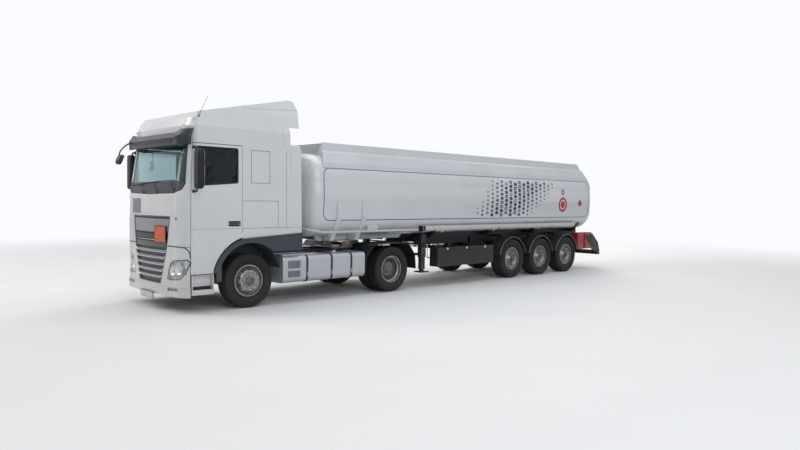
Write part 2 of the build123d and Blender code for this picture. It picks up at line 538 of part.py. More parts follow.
# Front wheel arches: a dark ring round the wheel, a long strip behind it and a liner over the tyre
ARCH_OUT = 1272.0
ring = rod("X", ARCH_R - 10, 1185, ARCH_OUT, 0, ARCH_Z)
ring -= rod("X", ARCH_INNER_R, 1184, ARCH_OUT + 1, 0, ARCH_Z)
ring &= block(1100, 1300, -900, 480, ARCH_Z + 180, 1400)
strip = slab("X", [(DOOR_BACK + GAP, 1300), (1137, 1378), (1137, 1040), (470, 1040), (200, 1200)], 1185,
             ARCH_OUT)
strip -= rod("X", ARCH_INNER_R, 1184, ARCH_OUT + 1, 0, ARCH_Z)
liner = rod("X", ARCH_INNER_R + 12, 700, 1186, 0, ARCH_Z) - rod("X", ARCH_INNER_R, 699, 1187, 0, ARCH_Z)
liner &= block(690, 1190, -900, 900, ARCH_Z + 180, 1400)
stay = block(RAIL_X + 40, 720, 480, 520, 860, 900) + block(700, 740, 480, 560, 860, 1100)
arch = ring + strip + liner + stay
write("wheel_arches", left_right(arch))

# Entry steps: four treads between cheek plates, the lower two in view below the door
treads = block(900, 1235, -1165, -1150, 330, 690) + block(900, 1235, -765, -750, 330, 690)
treads += block(900, 1150, -1165, -1150, 690, 1180)
treads += block(900, 1150, -815, -800, 640, 1180)
for z, reach in ((330, 1225), (660, 1205), (900, 1150), (1140, 1150)):
    treads += block(900, reach, -1160, -760 if z < 700 else -805, z, z + 22)
treads += block(1195, 1222, -1160, -760, 352, 420)
treads += block(RAIL_X + 40, 915, -1165, -1135, 860, 940)
write("entry_steps", left_right(treads))

# Tank rows: a louvred box and a fuel tank on each side, held by straps
ROW_IN, ROW_OUT, ROW_LOW, ROW_TOP = 640.0, 1240.0, 400.0, 935.0
ROW_FRONT, ROW_JOINT, ROW_BACK = 708.0, 1275.0, WHEELBASE - 810
ROW_ROUND = 95.0


def row_section(y, grow=0.0):
    """The tank row's rounded section at y."""
    width, height = ROW_OUT - ROW_IN, ROW_TOP - ROW_LOW
    sketch = Rectangle(width + 2 * grow, height + 2 * grow)
    sketch = fillet(sketch.vertices(), ROW_ROUND + grow)
    centre = ((ROW_IN + ROW_OUT) / 2, y, (ROW_LOW + ROW_TOP) / 2)
    return Plane(centre, x_dir=(1, 0, 0), z_dir=(0, -1, 0)) * sketch


tank = extrude(row_section(ROW_JOINT + 8), amount=ROW_BACK - ROW_JOINT - 8, dir=(0, 1, 0))
cabinet = extrude(row_section(ROW_FRONT), amount=ROW_JOINT - ROW_FRONT, dir=(0, 1, 0))
LOUVRE_Z = [z for z in range(520, 830, 22) if not 630 < z < 690]
cabinet -= [block(ROW_OUT - 8, ROW_OUT + 1, 830, 1110, z, z + 9) for z in LOUVRE_Z]
deck = block(700, 1180, 730, 1500, ROW_TOP, ROW_TOP + 18)
filler = rod("Z", 62, ROW_TOP - 10, ROW_TOP + 26, 960, ROW_BACK - 640)
filler += rod("Z", 50, ROW_TOP + 26, ROW_TOP + 44, 960, ROW_BACK - 640)
write("fuel_tanks", left_right(tank + cabinet + deck + filler))
STRAPS = (ROW_JOINT + 4, ROW_JOINT + 620, ROW_BACK - 373)
STRAP_W, STRAP_T = 44.0, 8.0
straps = Compound([])
for y in STRAPS:
    band = extrude(row_section(y - STRAP_W / 2, STRAP_T), amount=STRAP_W, dir=(0, 1, 0))
    straps += band - extrude(row_section(y - STRAP_W, 0), amount=2 * STRAP_W, dir=(0, 1, 0))
straps -= deck
write("tank_straps", left_right(straps))

# Drive mudguards: a folded sheet over each pair of tyres, on two stays
# Columns: distance behind the axle, height
GUARD = [(-794, 520), (-780, 800), (-560, 1055), (-360, 1088), (360, 1088), (530, 1040), (710, 800), (740, 480)]
GUARD_X, GUARD_W, SHEET_T = 570.0, 680.0, 12.0
GUARD_CUT = 480.0            # the sheet ends at this height
fold = FilletPolyline([(GUARD_X, WHEELBASE + y, z) for y, z in GUARD], radius=60)
front_low, back_low = (GUARD_X, WHEELBASE + GUARD[0][0], 400), (GUARD_X, WHEELBASE + GUARD[-1][0], 400)
outer_edge = make_face([fold, Line(fold @ 1, back_low), Line(back_low, front_low), Line(front_low, fold @ 0)])
inner_edge = offset(outer_edge, amount=-SHEET_T, kind=Kind.INTERSECTION)
sheet = extrude(outer_edge, amount=GUARD_W, dir=(1, 0, 0)) - extrude(inner_edge, amount=GUARD_W, dir=(1, 0, 0))
sheet -= block(GUARD_X - 10, GUARD_X + GUARD_W + 10, WHEELBASE - 900, WHEELBASE + 800, 300, GUARD_CUT)
for y in (WHEELBASE - 695, WHEELBASE + 632):
    sheet += block(RAIL_X + RAIL_W / 2, GUARD_X + 30, y - 18, y + 18, 880, 916)
write("drive_mudguards", left_right(sheet))

# Inside the cab: dashboard with the steering column, two seats and a bunk
SEAT_X = 600.0
dash = slab("X", [(-1270, 1460), (-1270, 1990), (-1100, 2030), (-930, 1960), (-880, 1760), (-1000, 1460)],
            -1120, 1120)
column_plane = Plane((SEAT_X, -930, 1790), z_dir=(0, 0.55, 0.83))
column = column_plane * Pos(0, 0, 120) * Cylinder(32, 290)
wheel_plane = column_plane.offset(262)
wheel = wheel_plane * Torus(215, 17) + wheel_plane * Box(430, 46, 14) + wheel_plane * Cylinder(62, 34)
write("dashboard", (dash & cab_form(WALL + 4)) + column + wheel)
FLOOR_TOP = FLOOR_LOW + FLOOR
seat = slab("X", [(-560, 1830), (-560, 1950), (-60, 1920), (20, 2010), (110, 2520), (190, 2520), (120, 1900),
                  (-40, 1800)], -250, 250)
seat += slab("X", [(95, 2535), (80, 2720), (150, 2730), (185, 2535), (190, 2519), (110, 2519)], -130, 130)
seat += block(-200, 200, -480, -40, FLOOR_TOP, 1860)
write("seats", Pos(SEAT_X, 0, 0) * seat, Pos(-SEAT_X, 0, 0) * seat)
write("bunk", block(-1100, 1100, 240, CAB_BACK - WALL, FLOOR_TOP, 1950))

# Tank: an oval section of arcs, closed by dished ends
TANK_MIDDLE = (TANK_LOW + TANK_TOP) / 2
# Columns: half width and height above the middle, from the top round to the bottom
TANK_ARCS = [((700, 865), (0, 885), (-700, 865)), ((-700, 865), (-1105, 690), (-1232, 280)),
             ((-1232, 280), (-TANK_HALF, 0), (-1232, -280)), ((-1232, -280), (-1090, -690), (-680, -858)),
             ((-680, -858), (0, -885), (680, -858)), ((680, -858), (1090, -690), (1232, -280)),
             ((1232, -280), (TANK_HALF, 0), (1232, 280)), ((1232, 280), (1105, 690), (700, 865))]


def tank_section(y, k=1.0):
    """The tank's section at y, drawn in to a share k of its size."""
    arcs = [ThreePointArc(*[(k * px, y, TANK_MIDDLE + k * pz) for px, pz in arc]) for arc in TANK_ARCS]
    return make_face(arcs)


# A dished end is a rounded knuckle that runs into a shallow crown
# Columns: share of its depth, share of the section
DISH = ((0.0, 1.0), (0.18, 0.99), (0.38, 0.962), (0.55, 0.915), (0.69, 0.85), (0.8, 0.765), (0.89, 0.65),
        (0.96, 0.49), (1.0, 0.28))


def dished_end(seam, tip):
    """A dished end from the seam to its flat tip."""
    faces = [tank_section(seam + (tip - seam) * t, k) for t, k in DISH]
    end = Compound([])
    for a, b in zip(faces, faces[1:]):
        end += loft([a, b], ruled=True)
    return end


barrel = extrude(tank_section(TANK_SEAM), amount=TANK_REAR_SEAM - TANK_SEAM, dir=(0, 1, 0))
vessel = barrel + dished_end(TANK_SEAM, TANK_FRONT) + dished_end(TANK_REAR_SEAM, TANK_REAR)

# Each of the three compartments has a collar with a hinged cover on top
COVER_FRONT, COVER_BACK = TANK_SEAM + 1410, TANK_REAR_SEAM - 1730
COVERS = (COVER_FRONT, (COVER_FRONT + COVER_BACK) / 2, COVER_BACK)
COLLAR_R, COLLAR_TOP = 262.0, 3080.0
LID_OVER = 14.0              # how far a lid reaches over its collar
LID_LOW, LID_HIGH, LID_CROWN = COLLAR_TOP + 6, COLLAR_TOP + 30, COLLAR_TOP + 62
CROWN_R = 190.0
HINGE_BACK = 30.0            # the hinge pin stands this far behind the collar
HINGE_Z = COLLAR_TOP + 22
HINGE_PIN_R, BARREL_R = 7.0, 14.0
EAR_IN, EAR_OUT = 48.0, 62.0
HANDLE_X, HANDLE_R, HANDLE_TOP = 70.0, 9.0, COLLAR_TOP + 120
for y in COVERS:
    hinge = y + COLLAR_R + HINGE_BACK
    vessel += rod("Z", COLLAR_R, 2900, COLLAR_TOP, 0, y)
    for x0, x1 in ((EAR_IN, EAR_OUT), (-EAR_OUT, -EAR_IN)):
        vessel += block(x0, x1, y + COLLAR_R - 20, hinge + BARREL_R, COLLAR_TOP - 60, COLLAR_TOP)
        vessel += block(x0, x1, hinge - BARREL_R, hinge + BARREL_R, COLLAR_TOP - 1, HINGE_Z)
        vessel += rod("X", BARREL_R, x0, x1, hinge, HINGE_Z)
    vessel += rod("X", HINGE_PIN_R, -EAR_OUT, EAR_OUT, hinge, HINGE_Z)
haul("tank", vessel)

for number, y in enumerate(COVERS, 1):
    hinge = y + COLLAR_R + HINGE_BACK
    lid = rod("Z", COLLAR_R + LID_OVER, LID_LOW, LID_HIGH, 0, y) + rod("Z", CROWN_R, LID_HIGH, LID_CROWN, 0, y)
    lid += block(-EAR_IN + 4, EAR_IN - 4, y + COLLAR_R - 20, hinge, LID_LOW + 2, LID_HIGH)
    lid += rod("X", BARREL_R, -EAR_IN + 4, EAR_IN - 4, hinge, HINGE_Z)
    lid -= rod("X", HINGE_PIN_R + PIN_FIT, -EAR_IN, EAR_IN, hinge, HINGE_Z)
    for x in (-HANDLE_X, HANDLE_X):
        lid += rod("Z", HANDLE_R, LID_CROWN - 2, HANDLE_TOP, x, y - 150)
    lid += rod("X", HANDLE_R, -HANDLE_X - HANDLE_R, HANDLE_X + HANDLE_R, y - 150, HANDLE_TOP)
    haul(f"tank_cover_{number}", lid)

# Coaming: folded side rails along the top with a raked front, a cross wall at each end and a ribbed walkway
COAMING = [(842, 2900), (842, COAMING_TOP), (868, COAMING_TOP), (938, 3052), (1004, 3010), (1150, 2790),
           (1192, 2690), (1150, 2640), (1000, 2640)]
COAMING_FRONT, COAMING_BACK = TANK_SEAM + 10, TANK_REAR_SEAM + 20
WALL_FRONT, WALL_BACK = COAMING_FRONT + 250, COAMING_BACK - 200
SHEET = 16.0
rails = slab("Y", COAMING, COAMING_FRONT, COAMING_BACK)
rails += mirror(rails, about=Plane.YZ)
walls = Compound([])
for y in (WALL_FRONT, WALL_BACK):
    walls += block(-860, 860, y - SHEET / 2, y + SHEET / 2, 2900, COAMING_TOP - 20)
rake = slab("X", [(COAMING_FRONT - 150, 2600), (COAMING_FRONT - 10, 2600), (WALL_FRONT, COAMING_TOP + 1),
                  (COAMING_FRONT - 150, COAMING_TOP + 1)], -1300, 1300)
rake_back = slab("X", [(COAMING_BACK + 150, 2600), (COAMING_BACK + 5, 2600),
                       (COAMING_BACK - 140, COAMING_TOP + 1), (COAMING_BACK + 150, COAMING_TOP + 1)],
                 -1300, 1300)
haul("coaming", (rails + walls) - rake - rake_back - vessel)

# Trailer frame: shallow rails over the tractor, deep rails behind it, and the coupling pin's plate
SKID_LOW = PLATE_TOP + PLATE_GAP
SKID_TOP = SKID_LOW + 20
NECK_LOW = SKID_LOW + 4
NECK_FRONT, NECK_END = -830.0, 2020.0        # the shallow rails lie over the tractor
RAIL_HALF = 45.0
RAIL_HEAD = TRAILER_RAIL_TOP + 30            # the rails reach up into the tank's underside
frame = block(-620, 620, -730, 770, SKID_LOW, SKID_TOP)
for s in (1, -1):
    x = s * TRAILER_RAIL_X
    frame += block(x - RAIL_HALF, x + RAIL_HALF, NECK_FRONT, NECK_END + 100, NECK_LOW, RAIL_HEAD)
    frame += slab("X", [(NECK_END, NECK_LOW), (NECK_END + 60, TRAILER_RAIL_LOW),
                        (TRAILER_END, TRAILER_RAIL_LOW), (TRAILER_END, RAIL_HEAD), (NECK_END, RAIL_HEAD)],
                  x - RAIL_HALF, x + RAIL_HALF)
cross_places = (-680, 720, 1820, 3220, REAR_AXLE - 3270, REAR_AXLE - 1970, REAR_AXLE - 670, REAR_AXLE + 630,
                TRAILER_END - 100)
for y in cross_places:
    frame += block(-TRAILER_RAIL_X, TRAILER_RAIL_X, y - 35, y + 35, SKID_TOP, TRAILER_RAIL_TOP)
PIN_REACH, PIN_FOOT = 84.0, 18.0
pin = rod("Z", KINGPIN_R, SKID_LOW - PIN_REACH, SKID_LOW + 1, 0, 0)
pin += rod("Z", 35, SKID_LOW - PIN_REACH, SKID_LOW - PIN_REACH + PIN_FOOT, 0, 0)
frame += pin
# Bearers hold the tank: skirts with two uprights at the neck, and saddles along the deep rails
SKIRT_X = 640.0
bearer = slab("X", [(-1180, 1330), (-1080, SKID_TOP), (1320, SKID_TOP), (1480, 1330)], SKIRT_X, SKIRT_X + 60)
bearer += slab("X", [(2000, 1330), (2020, 1160), (TANK_REAR_SEAM + 120, 1160), (TANK_REAR_SEAM + 270, 1330)],
               SKIRT_X, SKIRT_X + 20)
UPRIGHTS = (-900.0, -220.0)
for y in UPRIGHTS:
    bearer += slab("Y", [(SKIRT_X, SKID_TOP), (980, SKID_TOP), (1262, 1680), (1262, 2010), (1225, 2010),
                         (SKIRT_X, 1400)], y - 55, y + 55)
for y in (-930.0, 1170.0):
    bearer += block(TRAILER_RAIL_X, SKIRT_X + 20, y - 50, y + 50, SKID_TOP, 1250)
for y in (2220.0, 4420.0, REAR_AXLE - 1270, REAR_AXLE + 830):
    bearer += slab("Y", [(540, 1160), (900, 1160), (1120, 1440), (900, 1480), (540, 1300)], y - 45, y + 45)
bearers = left_right(bearer)
haul("trailer_frame", frame + bearers - vessel)

# Landing legs with flat feet, braced across behind the tractor's sweep, with a gear head and a shaft
LEG_X, LEG_Y = 1000.0, 1800.0
legs = Compound([])
for s in (1, -1):
    x = s * LEG_X
    legs += block(x - 60, x + 60, LEG_Y - 80, LEG_Y + 80, 700, 1250)
    legs += block(x - 48, x + 48, LEG_Y - 65, LEG_Y + 65, 420, 700)
    legs += block(x - 125, x + 125, LEG_Y - 130, LEG_Y + 130, 345, 372)
    legs += block(x - 40, x + 40, LEG_Y - 40, LEG_Y + 40, 372, 420)
    legs += block(*sorted((s * 545, s * 945)), LEG_Y + 100, LEG_Y + 160, 1040, 1190)
    legs += block(*sorted((s * 900, s * 960)), LEG_Y + 70, LEG_Y + 160, 1040, 1190)
    legs += block(*sorted((s * 900, s * 960)), LEG_Y + 70, LEG_Y + 145, 720, 775)
legs += block(-LEG_X + 40, LEG_X - 40, LEG_Y + 100, LEG_Y + 145, 720, 775)
legs += rod("X", 18, -LEG_X + 50, LEG_X - 50, LEG_Y + 86, 1000)
legs += rod("X", 46, LEG_X + 55, LEG_X + 90, LEG_Y + 20, 1000)
haul("landing_legs", legs - bearers)

# Trailer axles: a beam each on trailing arms, with air springs under the rails
ARM_X = TRAILER_RAIL_X + 20
axles = Compound([])
for y in TRAILER_AXLES:
    axles += rod("X", 62, -870, 870, y, TRAILER_TYRE_R)
    for s in (1, -1):
        axles += rod("X", AXLE_PIN_R, *sorted((s * 860, s * (TRAILER_WHEEL_X + 30))), y, TRAILER_TYRE_R)
        axles += rod("X", 170, *sorted((s * 850, s * 868)), y, TRAILER_TYRE_R)
        x = s * ARM_X
        arm = [(y - 560, 700), (y - 560, 800), (y - 480, 800), (y, 610), (y + 330, 560), (y + 330, 500),
               (y, 450)]
        axles += slab("X", arm, x - 45, x + 45)
        axles += block(x - 60, x + 60, y - 600, y - 470, 690, TRAILER_RAIL_LOW)
        axles += rod("Z", 120, 560, 830, x, y + 270) + rod("Z", 90, 830, TRAILER_RAIL_LOW, x, y + 270)
haul("trailer_axles", axles)

# Round mudguards, one over each trailer wheel
GUARD_R, GUARD_T = TRAILER_TYRE_R + 52, 10.0
hoops = Compound([])
for y in TRAILER_AXLES:
    hoop = rod("X", GUARD_R + GUARD_T, 850, 1252, y, TRAILER_TYRE_R)
    hoop -= rod("X", GUARD_R, 849, 1253, y, TRAILER_TYRE_R)
    hoop &= block(840, 1260, y - 700, y + 700, 640, 1200)
    hoops += hoop + rod("X", 22, TRAILER_RAIL_X + RAIL_HALF, 870, y, TRAILER_TYRE_R + GUARD_R + 20)
    hoops += block(850, 872, y - 30, y + 30, TRAILER_TYRE_R + GUARD_R, TRAILER_TYRE_R + GUARD_R + 40)
haul("trailer_mudguards", left_right(hoops))

# Side tubes: a slim guard tube round the front end, and the wide hose carrier behind it
TUBE_X, TUBE_Z, TUBE_R = 1222.0, 1368.0, 24.0
TUBE_END = 1440.0
slim = bent_tube([(0, -1755, TUBE_Z + 120), (560, -1755, TUBE_Z + 120), (1090, -1600, TUBE_Z + 60),
                  (TUBE_X, -1300, TUBE_Z), (TUBE_X, TUBE_END, TUBE_Z)], 90, TUBE_R)
CARRIER_R, CARRIER_X, CARRIER_Z = 66.0, 1180.0, 1390.0
CARRIER_FRONT, CARRIER_BACK = 1670.0, REAR_AXLE + 450
carrier = rod("Y", CARRIER_R, CARRIER_FRONT, CARRIER_BACK, CARRIER_X, CARRIER_Z)
carrier -= rod("Y", CARRIER_R - 6, CARRIER_FRONT - 10, CARRIER_BACK + 10, CARRIER_X, CARRIER_Z)
carrier += block(CARRIER_X - 70, CARRIER_X + 70, CARRIER_FRONT - 90, CARRIER_FRONT + 2, CARRIER_Z - 72,
                 CARRIER_Z + 72)
for y in (2320.0, 4320.0, CARRIER_BACK - 1820, CARRIER_BACK - 120):
    carrier += block(1000, CARRIER_X, y - 20, y + 20, 1290, 1332)
tubes = left_right(slim + carrier)
for y in (*UPRIGHTS, TUBE_END - 220):
    tubes += left_right(block(1010, TUBE_X, y - 15, y + 15, TUBE_Z - 10, TUBE_Z + 10))
haul("side_tubes", tubes - barrel - bearers)

# Equipment box on the left: a long chest with pressed lines, hung from the rail
CHEST_FRONT, CHEST_BACK = 2120.0, TRAILER_AXLES[0] - 820
CHEST_LOW, CHEST_TOP = 465.0, 918.0
CHEST_IN, CHEST_OUT = 960.0, 1222.0
hangers = Compound([])
for y in (CHEST_FRONT + 200, CHEST_BACK - 180):
    hangers += block(560, CHEST_IN + 50, y - 30, y + 30, 880, 960)
    hangers += block(TRAILER_RAIL_X + RAIL_HALF, 600, y - 30, y + 30, 880, 1100)
chest = block(CHEST_IN, CHEST_OUT, CHEST_FRONT, CHEST_BACK, CHEST_LOW, CHEST_TOP)
for z in (560.0, 650.0, 740.0, 830.0):
    chest -= block(CHEST_OUT - 8, CHEST_OUT + 1, CHEST_FRONT + 50, CHEST_BACK - 50, z, z + 12)
haul("side_box", chest + hangers)

# Outlet valves on the right, one for each compartment: a drop pipe, a bulged valve body and a capped coupling
OUTLET_START = 1900.0        # the outlets share the room between here and the first axle
OUTLET_ROOM = TRAILER_AXLES[0] - 750 - OUTLET_START
OUTLETS = tuple(OUTLET_START + OUTLET_ROOM * share / 242 for share in (62, 152, 242))
OUTLET_Z, PIPE_R, DROP_R = 860.0, 58.0, 40.0
DROP_X = 597.0               # the drop pipe passes between the rail and the skirt
# Columns: distance out from the middle of the vehicle, radius
VALVE = [(DROP_X - DROP_R, PIPE_R), (780, PIPE_R), (800, 92), (920, 92), (940, PIPE_R), (1150, PIPE_R),
         (1150, 84), (1190, 84), (1190, 66), (1215, 66)]
valves = Compound([])
for y in OUTLETS:
    profile = [(VALVE[0][0], 0), *VALVE, (VALVE[-1][0], 0)]
    valves += turned([(-x, r) for x, r in profile], 0, y, OUTLET_Z)
    valves += rod("Z", DROP_R, OUTLET_Z, TANK_LOW + 70, -DROP_X, y)
    valves += block(-1150, -1120, y - 15, y + 15, OUTLET_Z + 40, OUTLET_Z + 80)
valves += block(-1150, -1120, OUTLETS[0] - 200, OUTLETS[-1] + 150, OUTLET_Z + 70, OUTLET_Z + 100)
haul("outlet_valves", valves - vessel)

# Red boxes for the extinguishers, ahead of the rear guard, on brackets from the rail
BOX_IN, BOX_OUT, BOX_LOW, BOX_TOP = 1010.0, 1228.0, 640.0, 1137.0
red = Compound([])
for front, back, place in ((-600, -240, -510), (-180, 205, 110)):
    y = TANK_REAR_SEAM + place
    red += block(BOX_IN, BOX_OUT, TANK_REAR_SEAM + front, TANK_REAR_SEAM + back, BOX_LOW, BOX_TOP)
    red += block(900, BOX_IN, y - 30, y + 30, 900, 1000) + block(880, 920, y - 30, y + 30, 900, 1040)
    red += block(TRAILER_RAIL_X + RAIL_HALF, 920, y - 30, y + 30, 1000, 1040)
haul("extinguisher_boxes", left_right(red))

# Rear guard: an underrun beam on two posts, with side plates and the lamp carriers
BEAM_LOW, BEAM_TOP = 430.0, 560.0
rear = block(-1180, 1180, TRAILER_REAR - 130, TRAILER_REAR - 20, BEAM_LOW, BEAM_TOP)
for s in (1, -1):
    x = s * TRAILER_RAIL_X
    rear += block(x - 40, x + 40, TRAILER_END - 120, TRAILER_END - 40, BEAM_TOP, TRAILER_RAIL_LOW)
    rear += block(x - 40, x + 40, TRAILER_END - 120, TRAILER_REAR - 60, 480, BEAM_TOP)
    plate = [(TRAILER_END - 580, 1030), (TRAILER_END - 180, 1100), (TRAILER_REAR - 110, 820),
             (TRAILER_REAR, BEAM_TOP), (TRAILER_REAR, BEAM_LOW), (TRAILER_REAR - 130, BEAM_LOW),
             (TRAILER_REAR - 130, 500),
             (TRAILER_END - 200, 600), (TRAILER_END - 220, 640)]
    rear += slab("X", plate, *sorted((s * 1232, s * 1240)))
    rear += block(*sorted((s * 1150, s * 1236)), TRAILER_REAR - 120, TRAILER_REAR - 30, BEAM_LOW, BEAM_TOP)
    rear += block(*sorted((s * 780, s * 1170)), TRAILER_END + 30, TRAILER_END + 100, 780, 920)
    rear += block(*sorted((s * 530, s * 800)), TRAILER_END - 100, TRAILER_END + 50, 820, 880)
haul("rear_guard", rear)

# Rear ladder to the top of the tank
LADDER_Y = TRAILER_END + 45
LADDER_X = (-620.0, -240.0)
ladder = Compound([])
for x in LADDER_X:
    ladder += bent_tube([(x, LADDER_Y, 1000), (x, LADDER_Y, 2950), (x, LADDER_Y - 325, 3260),
                         (x, LADDER_Y - 585, 3260)], 110, 20)
for z in range(1080, 2960, 280):
    ladder += rod("X", 13, *LADDER_X, LADDER_Y, z)
ladder += block(LADDER_X[0] - 20, LADDER_X[1] + 20, TRAILER_END, LADDER_Y + 6, 1120, 1160)
haul("rear_ladder", ladder)
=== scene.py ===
"""Tanker truck: surfaces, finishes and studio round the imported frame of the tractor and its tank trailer."""
import math
import bmesh
import bpy
import numpy as np
from mathutils import Matrix, Vector


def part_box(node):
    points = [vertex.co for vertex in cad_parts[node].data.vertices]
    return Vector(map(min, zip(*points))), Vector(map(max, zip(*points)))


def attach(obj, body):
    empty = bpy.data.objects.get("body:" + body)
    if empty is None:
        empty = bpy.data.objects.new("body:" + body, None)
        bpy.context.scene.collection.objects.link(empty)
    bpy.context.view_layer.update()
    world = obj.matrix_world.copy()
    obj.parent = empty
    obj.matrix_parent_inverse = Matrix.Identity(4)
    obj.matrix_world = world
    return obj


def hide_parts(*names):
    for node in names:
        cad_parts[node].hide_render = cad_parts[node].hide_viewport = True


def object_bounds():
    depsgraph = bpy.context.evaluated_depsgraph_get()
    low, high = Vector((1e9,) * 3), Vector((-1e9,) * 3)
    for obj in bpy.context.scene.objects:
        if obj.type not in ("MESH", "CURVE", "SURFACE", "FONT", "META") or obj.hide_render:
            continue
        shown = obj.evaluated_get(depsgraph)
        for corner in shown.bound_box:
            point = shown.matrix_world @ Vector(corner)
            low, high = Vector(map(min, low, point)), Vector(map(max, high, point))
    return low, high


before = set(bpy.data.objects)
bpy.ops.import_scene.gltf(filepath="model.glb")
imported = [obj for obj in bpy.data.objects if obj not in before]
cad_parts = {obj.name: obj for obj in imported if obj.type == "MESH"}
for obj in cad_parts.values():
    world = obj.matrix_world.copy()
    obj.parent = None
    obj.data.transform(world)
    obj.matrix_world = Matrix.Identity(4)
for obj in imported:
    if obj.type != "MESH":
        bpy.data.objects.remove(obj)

bl_info = {
    "name": "Tanker Truck",
    "version": (1, 0, 0),
    "blender": (4, 5, 0),
    "location": "View3D > Sidebar > Tanker",
    "description": "Builds the surfaces and finishes of an articulated tanker truck round its CAD frame",
    "category": "Object",
}

# Places are metres in the row frame: +X is the vehicle's left, the front faces -Y, and the ground is Z = 0
CAD_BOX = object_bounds()
SIDES = (("left", 1), ("right", -1))


def middle(node):
    """The middle of a CAD node's box."""
    low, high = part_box(node)
    return (low + high) / 2


FRONT_AXLE = middle("front_tyre_left").y
DRIVE_AXLE = middle("drive_tyres_left").y
TRAILER_AXLES = [middle(f"trailer_wheel_{n}_left").y for n in (1, 2, 3)]
TYRE_R = middle("front_tyre_left").z
TRAILER_TYRE_R = middle("trailer_wheel_1_left").z


def at(y):
    """The row frame's Y of a place measured from the front axle."""
    return FRONT_AXLE + y


TWINS = (1.085, 0.735)       # X of the outer and the inner wheel of a twin pair
TRAILER_X = 1.052            # X of the trailer's wheels


# Meshes: a patch is a pair of arrays, its points and the corner numbers of its four-sided cells


def cells(rows, cols, wrap_rows=False, wrap_cols=False):
    """The cells of a grid of points, row by row; a wrapped way joins its last line to its first."""
    r, c = np.meshgrid(np.arange(rows if wrap_rows else rows - 1), np.arange(cols if wrap_cols else cols - 1),
                       indexing="ij")
    below, beside = (r + 1) % rows, (c + 1) % cols
    return np.stack([r * cols + c, below * cols + c, below * cols + beside, r * cols + beside],
        -1).reshape(-1, 4)


def patch(points, wrap_rows=False, wrap_cols=False):
    """A patch from an array of points shaped (rows, columns, 3)."""
    rows, cols = points.shape[:2]
    return points.reshape(-1, 3), cells(rows, cols, wrap_rows, wrap_cols)


def join(patches):
    """Several patches as one: each one's corner numbers are moved past the points before it."""
    starts = np.cumsum([0] + [len(points) for points, _ in patches[:-1]])
    return (np.concatenate([points for points, _ in patches]),
            np.concatenate([corners + start for (_, corners), start in zip(patches, starts)]))


def spots(x, y, z):
    """Points from places across, along and up: each is a number or an array, and all are stretched to one
    shape."""
    return np.stack(np.broadcast_arrays(x, y, z), -1)


def hull(rings):
    """A patch of closed rings of points, one after another."""
    return patch(np.stack(rings), wrap_cols=True)


def sheet(points, way):
    """A patch from a grid of points, turned to face way."""
    return faced(patch(points), way)


def moved(shape, offset):
    """The patch carried along by offset."""
    return shape[0] + np.asarray(offset, float), shape[1]


def mirrored(shape):
    """The patch on the other side of X = 0, with each cell's corners reversed so that it still faces out."""
    return shape[0] * (-1, 1, 1), shape[1][:, ::-1]


def both(shape):
    """The patch and its mirror image on the other side of X = 0, as one."""
    return join([shape, mirrored(shape)])


def faced(shape, way):
    """An open patch with each cell turned towards way: the cross product of a cell's diagonals is its
    normal."""
    points, corners = shape
    a, b, c, d = (points[corners[:, k]] for k in range(4))
    away = np.cross(c - a, d - b) @ np.asarray(way, float) < 0
    return points, np.where(away[:, None], corners[:, ::-1], corners)


def swapped(points, order):
    """Points with their three places in another order."""
    return points[..., list(order)]


def linked(name, data):
    """A new object in the scene, from a mesh, a lamp or a camera."""
    thing = bpy.data.objects.new(name, data)
    bpy.context.scene.collection.objects.link(thing)
    return thing


def creased(mesh, degrees):
    """Shades a mesh smoothly, apart from its edges sharper than so many degrees."""
    mesh.polygons.foreach_set("use_smooth", [True] * len(mesh.polygons))
    mesh.set_sharp_from_angle(angle=math.radians(degrees))


def add_piece(name, shape, body, paint, smooth=40, closed=True, replaces=None):
    """Makes a mesh object of a patch: doubled points are merged, a closed shape's faces are turned outwards,
    edges sharper than smooth degrees are creased, and the piece gets its paint and rides on its body."""
    mesh = bpy.data.meshes.new(name)
    mesh.from_pydata(shape[0].tolist(), [], shape[1].tolist())
    work = bmesh.new()
    work.from_mesh(mesh)
    bmesh.ops.remove_doubles(work, verts=work.verts, dist=2e-5)
    bmesh.ops.dissolve_degenerate(work, edges=work.edges, dist=1e-6)
    if closed:
        bmesh.ops.recalc_face_normals(work, faces=work.faces)
    work.to_mesh(mesh)
    work.free()
    creased(mesh, smooth)
    mesh.materials.append(made(paint))
    piece = linked(name, mesh)
    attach(piece, body)
    if replaces:
        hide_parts(replaces)
    return piece


def add_pairs(body, smooth, rows):
    """Pieces on both sides of X = 0. Each row gives a name, the left side's patches, paint, a slot that is not
    used, and if it is closed."""
    for name, shapes, paint, slot, closed in rows:
        add_piece(name, both(join(shapes)), body, paint, closed=closed, smooth=smooth)


def thickened(piece, depth, offset=-1.0):
    """Gives a sheet a wall with a Solidify modifier."""
    wall = piece.modifiers.new("wall", "SOLIDIFY")
    wall.thickness, wall.offset = depth, offset
    return piece


def turned_shape(profile, centre, steps, start=0.0, turn=2 * math.pi):
    """A profile of (x, radius) pairs turned round a line along X: a point is (x, r sin a, r cos a) for each
    angle."""
    full = abs(turn - 2 * math.pi) < 1e-6
    angles = start + np.linspace(0, turn, steps, endpoint=not full)
    x, r = np.asarray(profile, float).T
    points = spots(x, np.outer(np.sin(angles), r), np.outer(np.cos(angles), r))
    return patch(points + np.asarray(centre, float), wrap_rows=full)


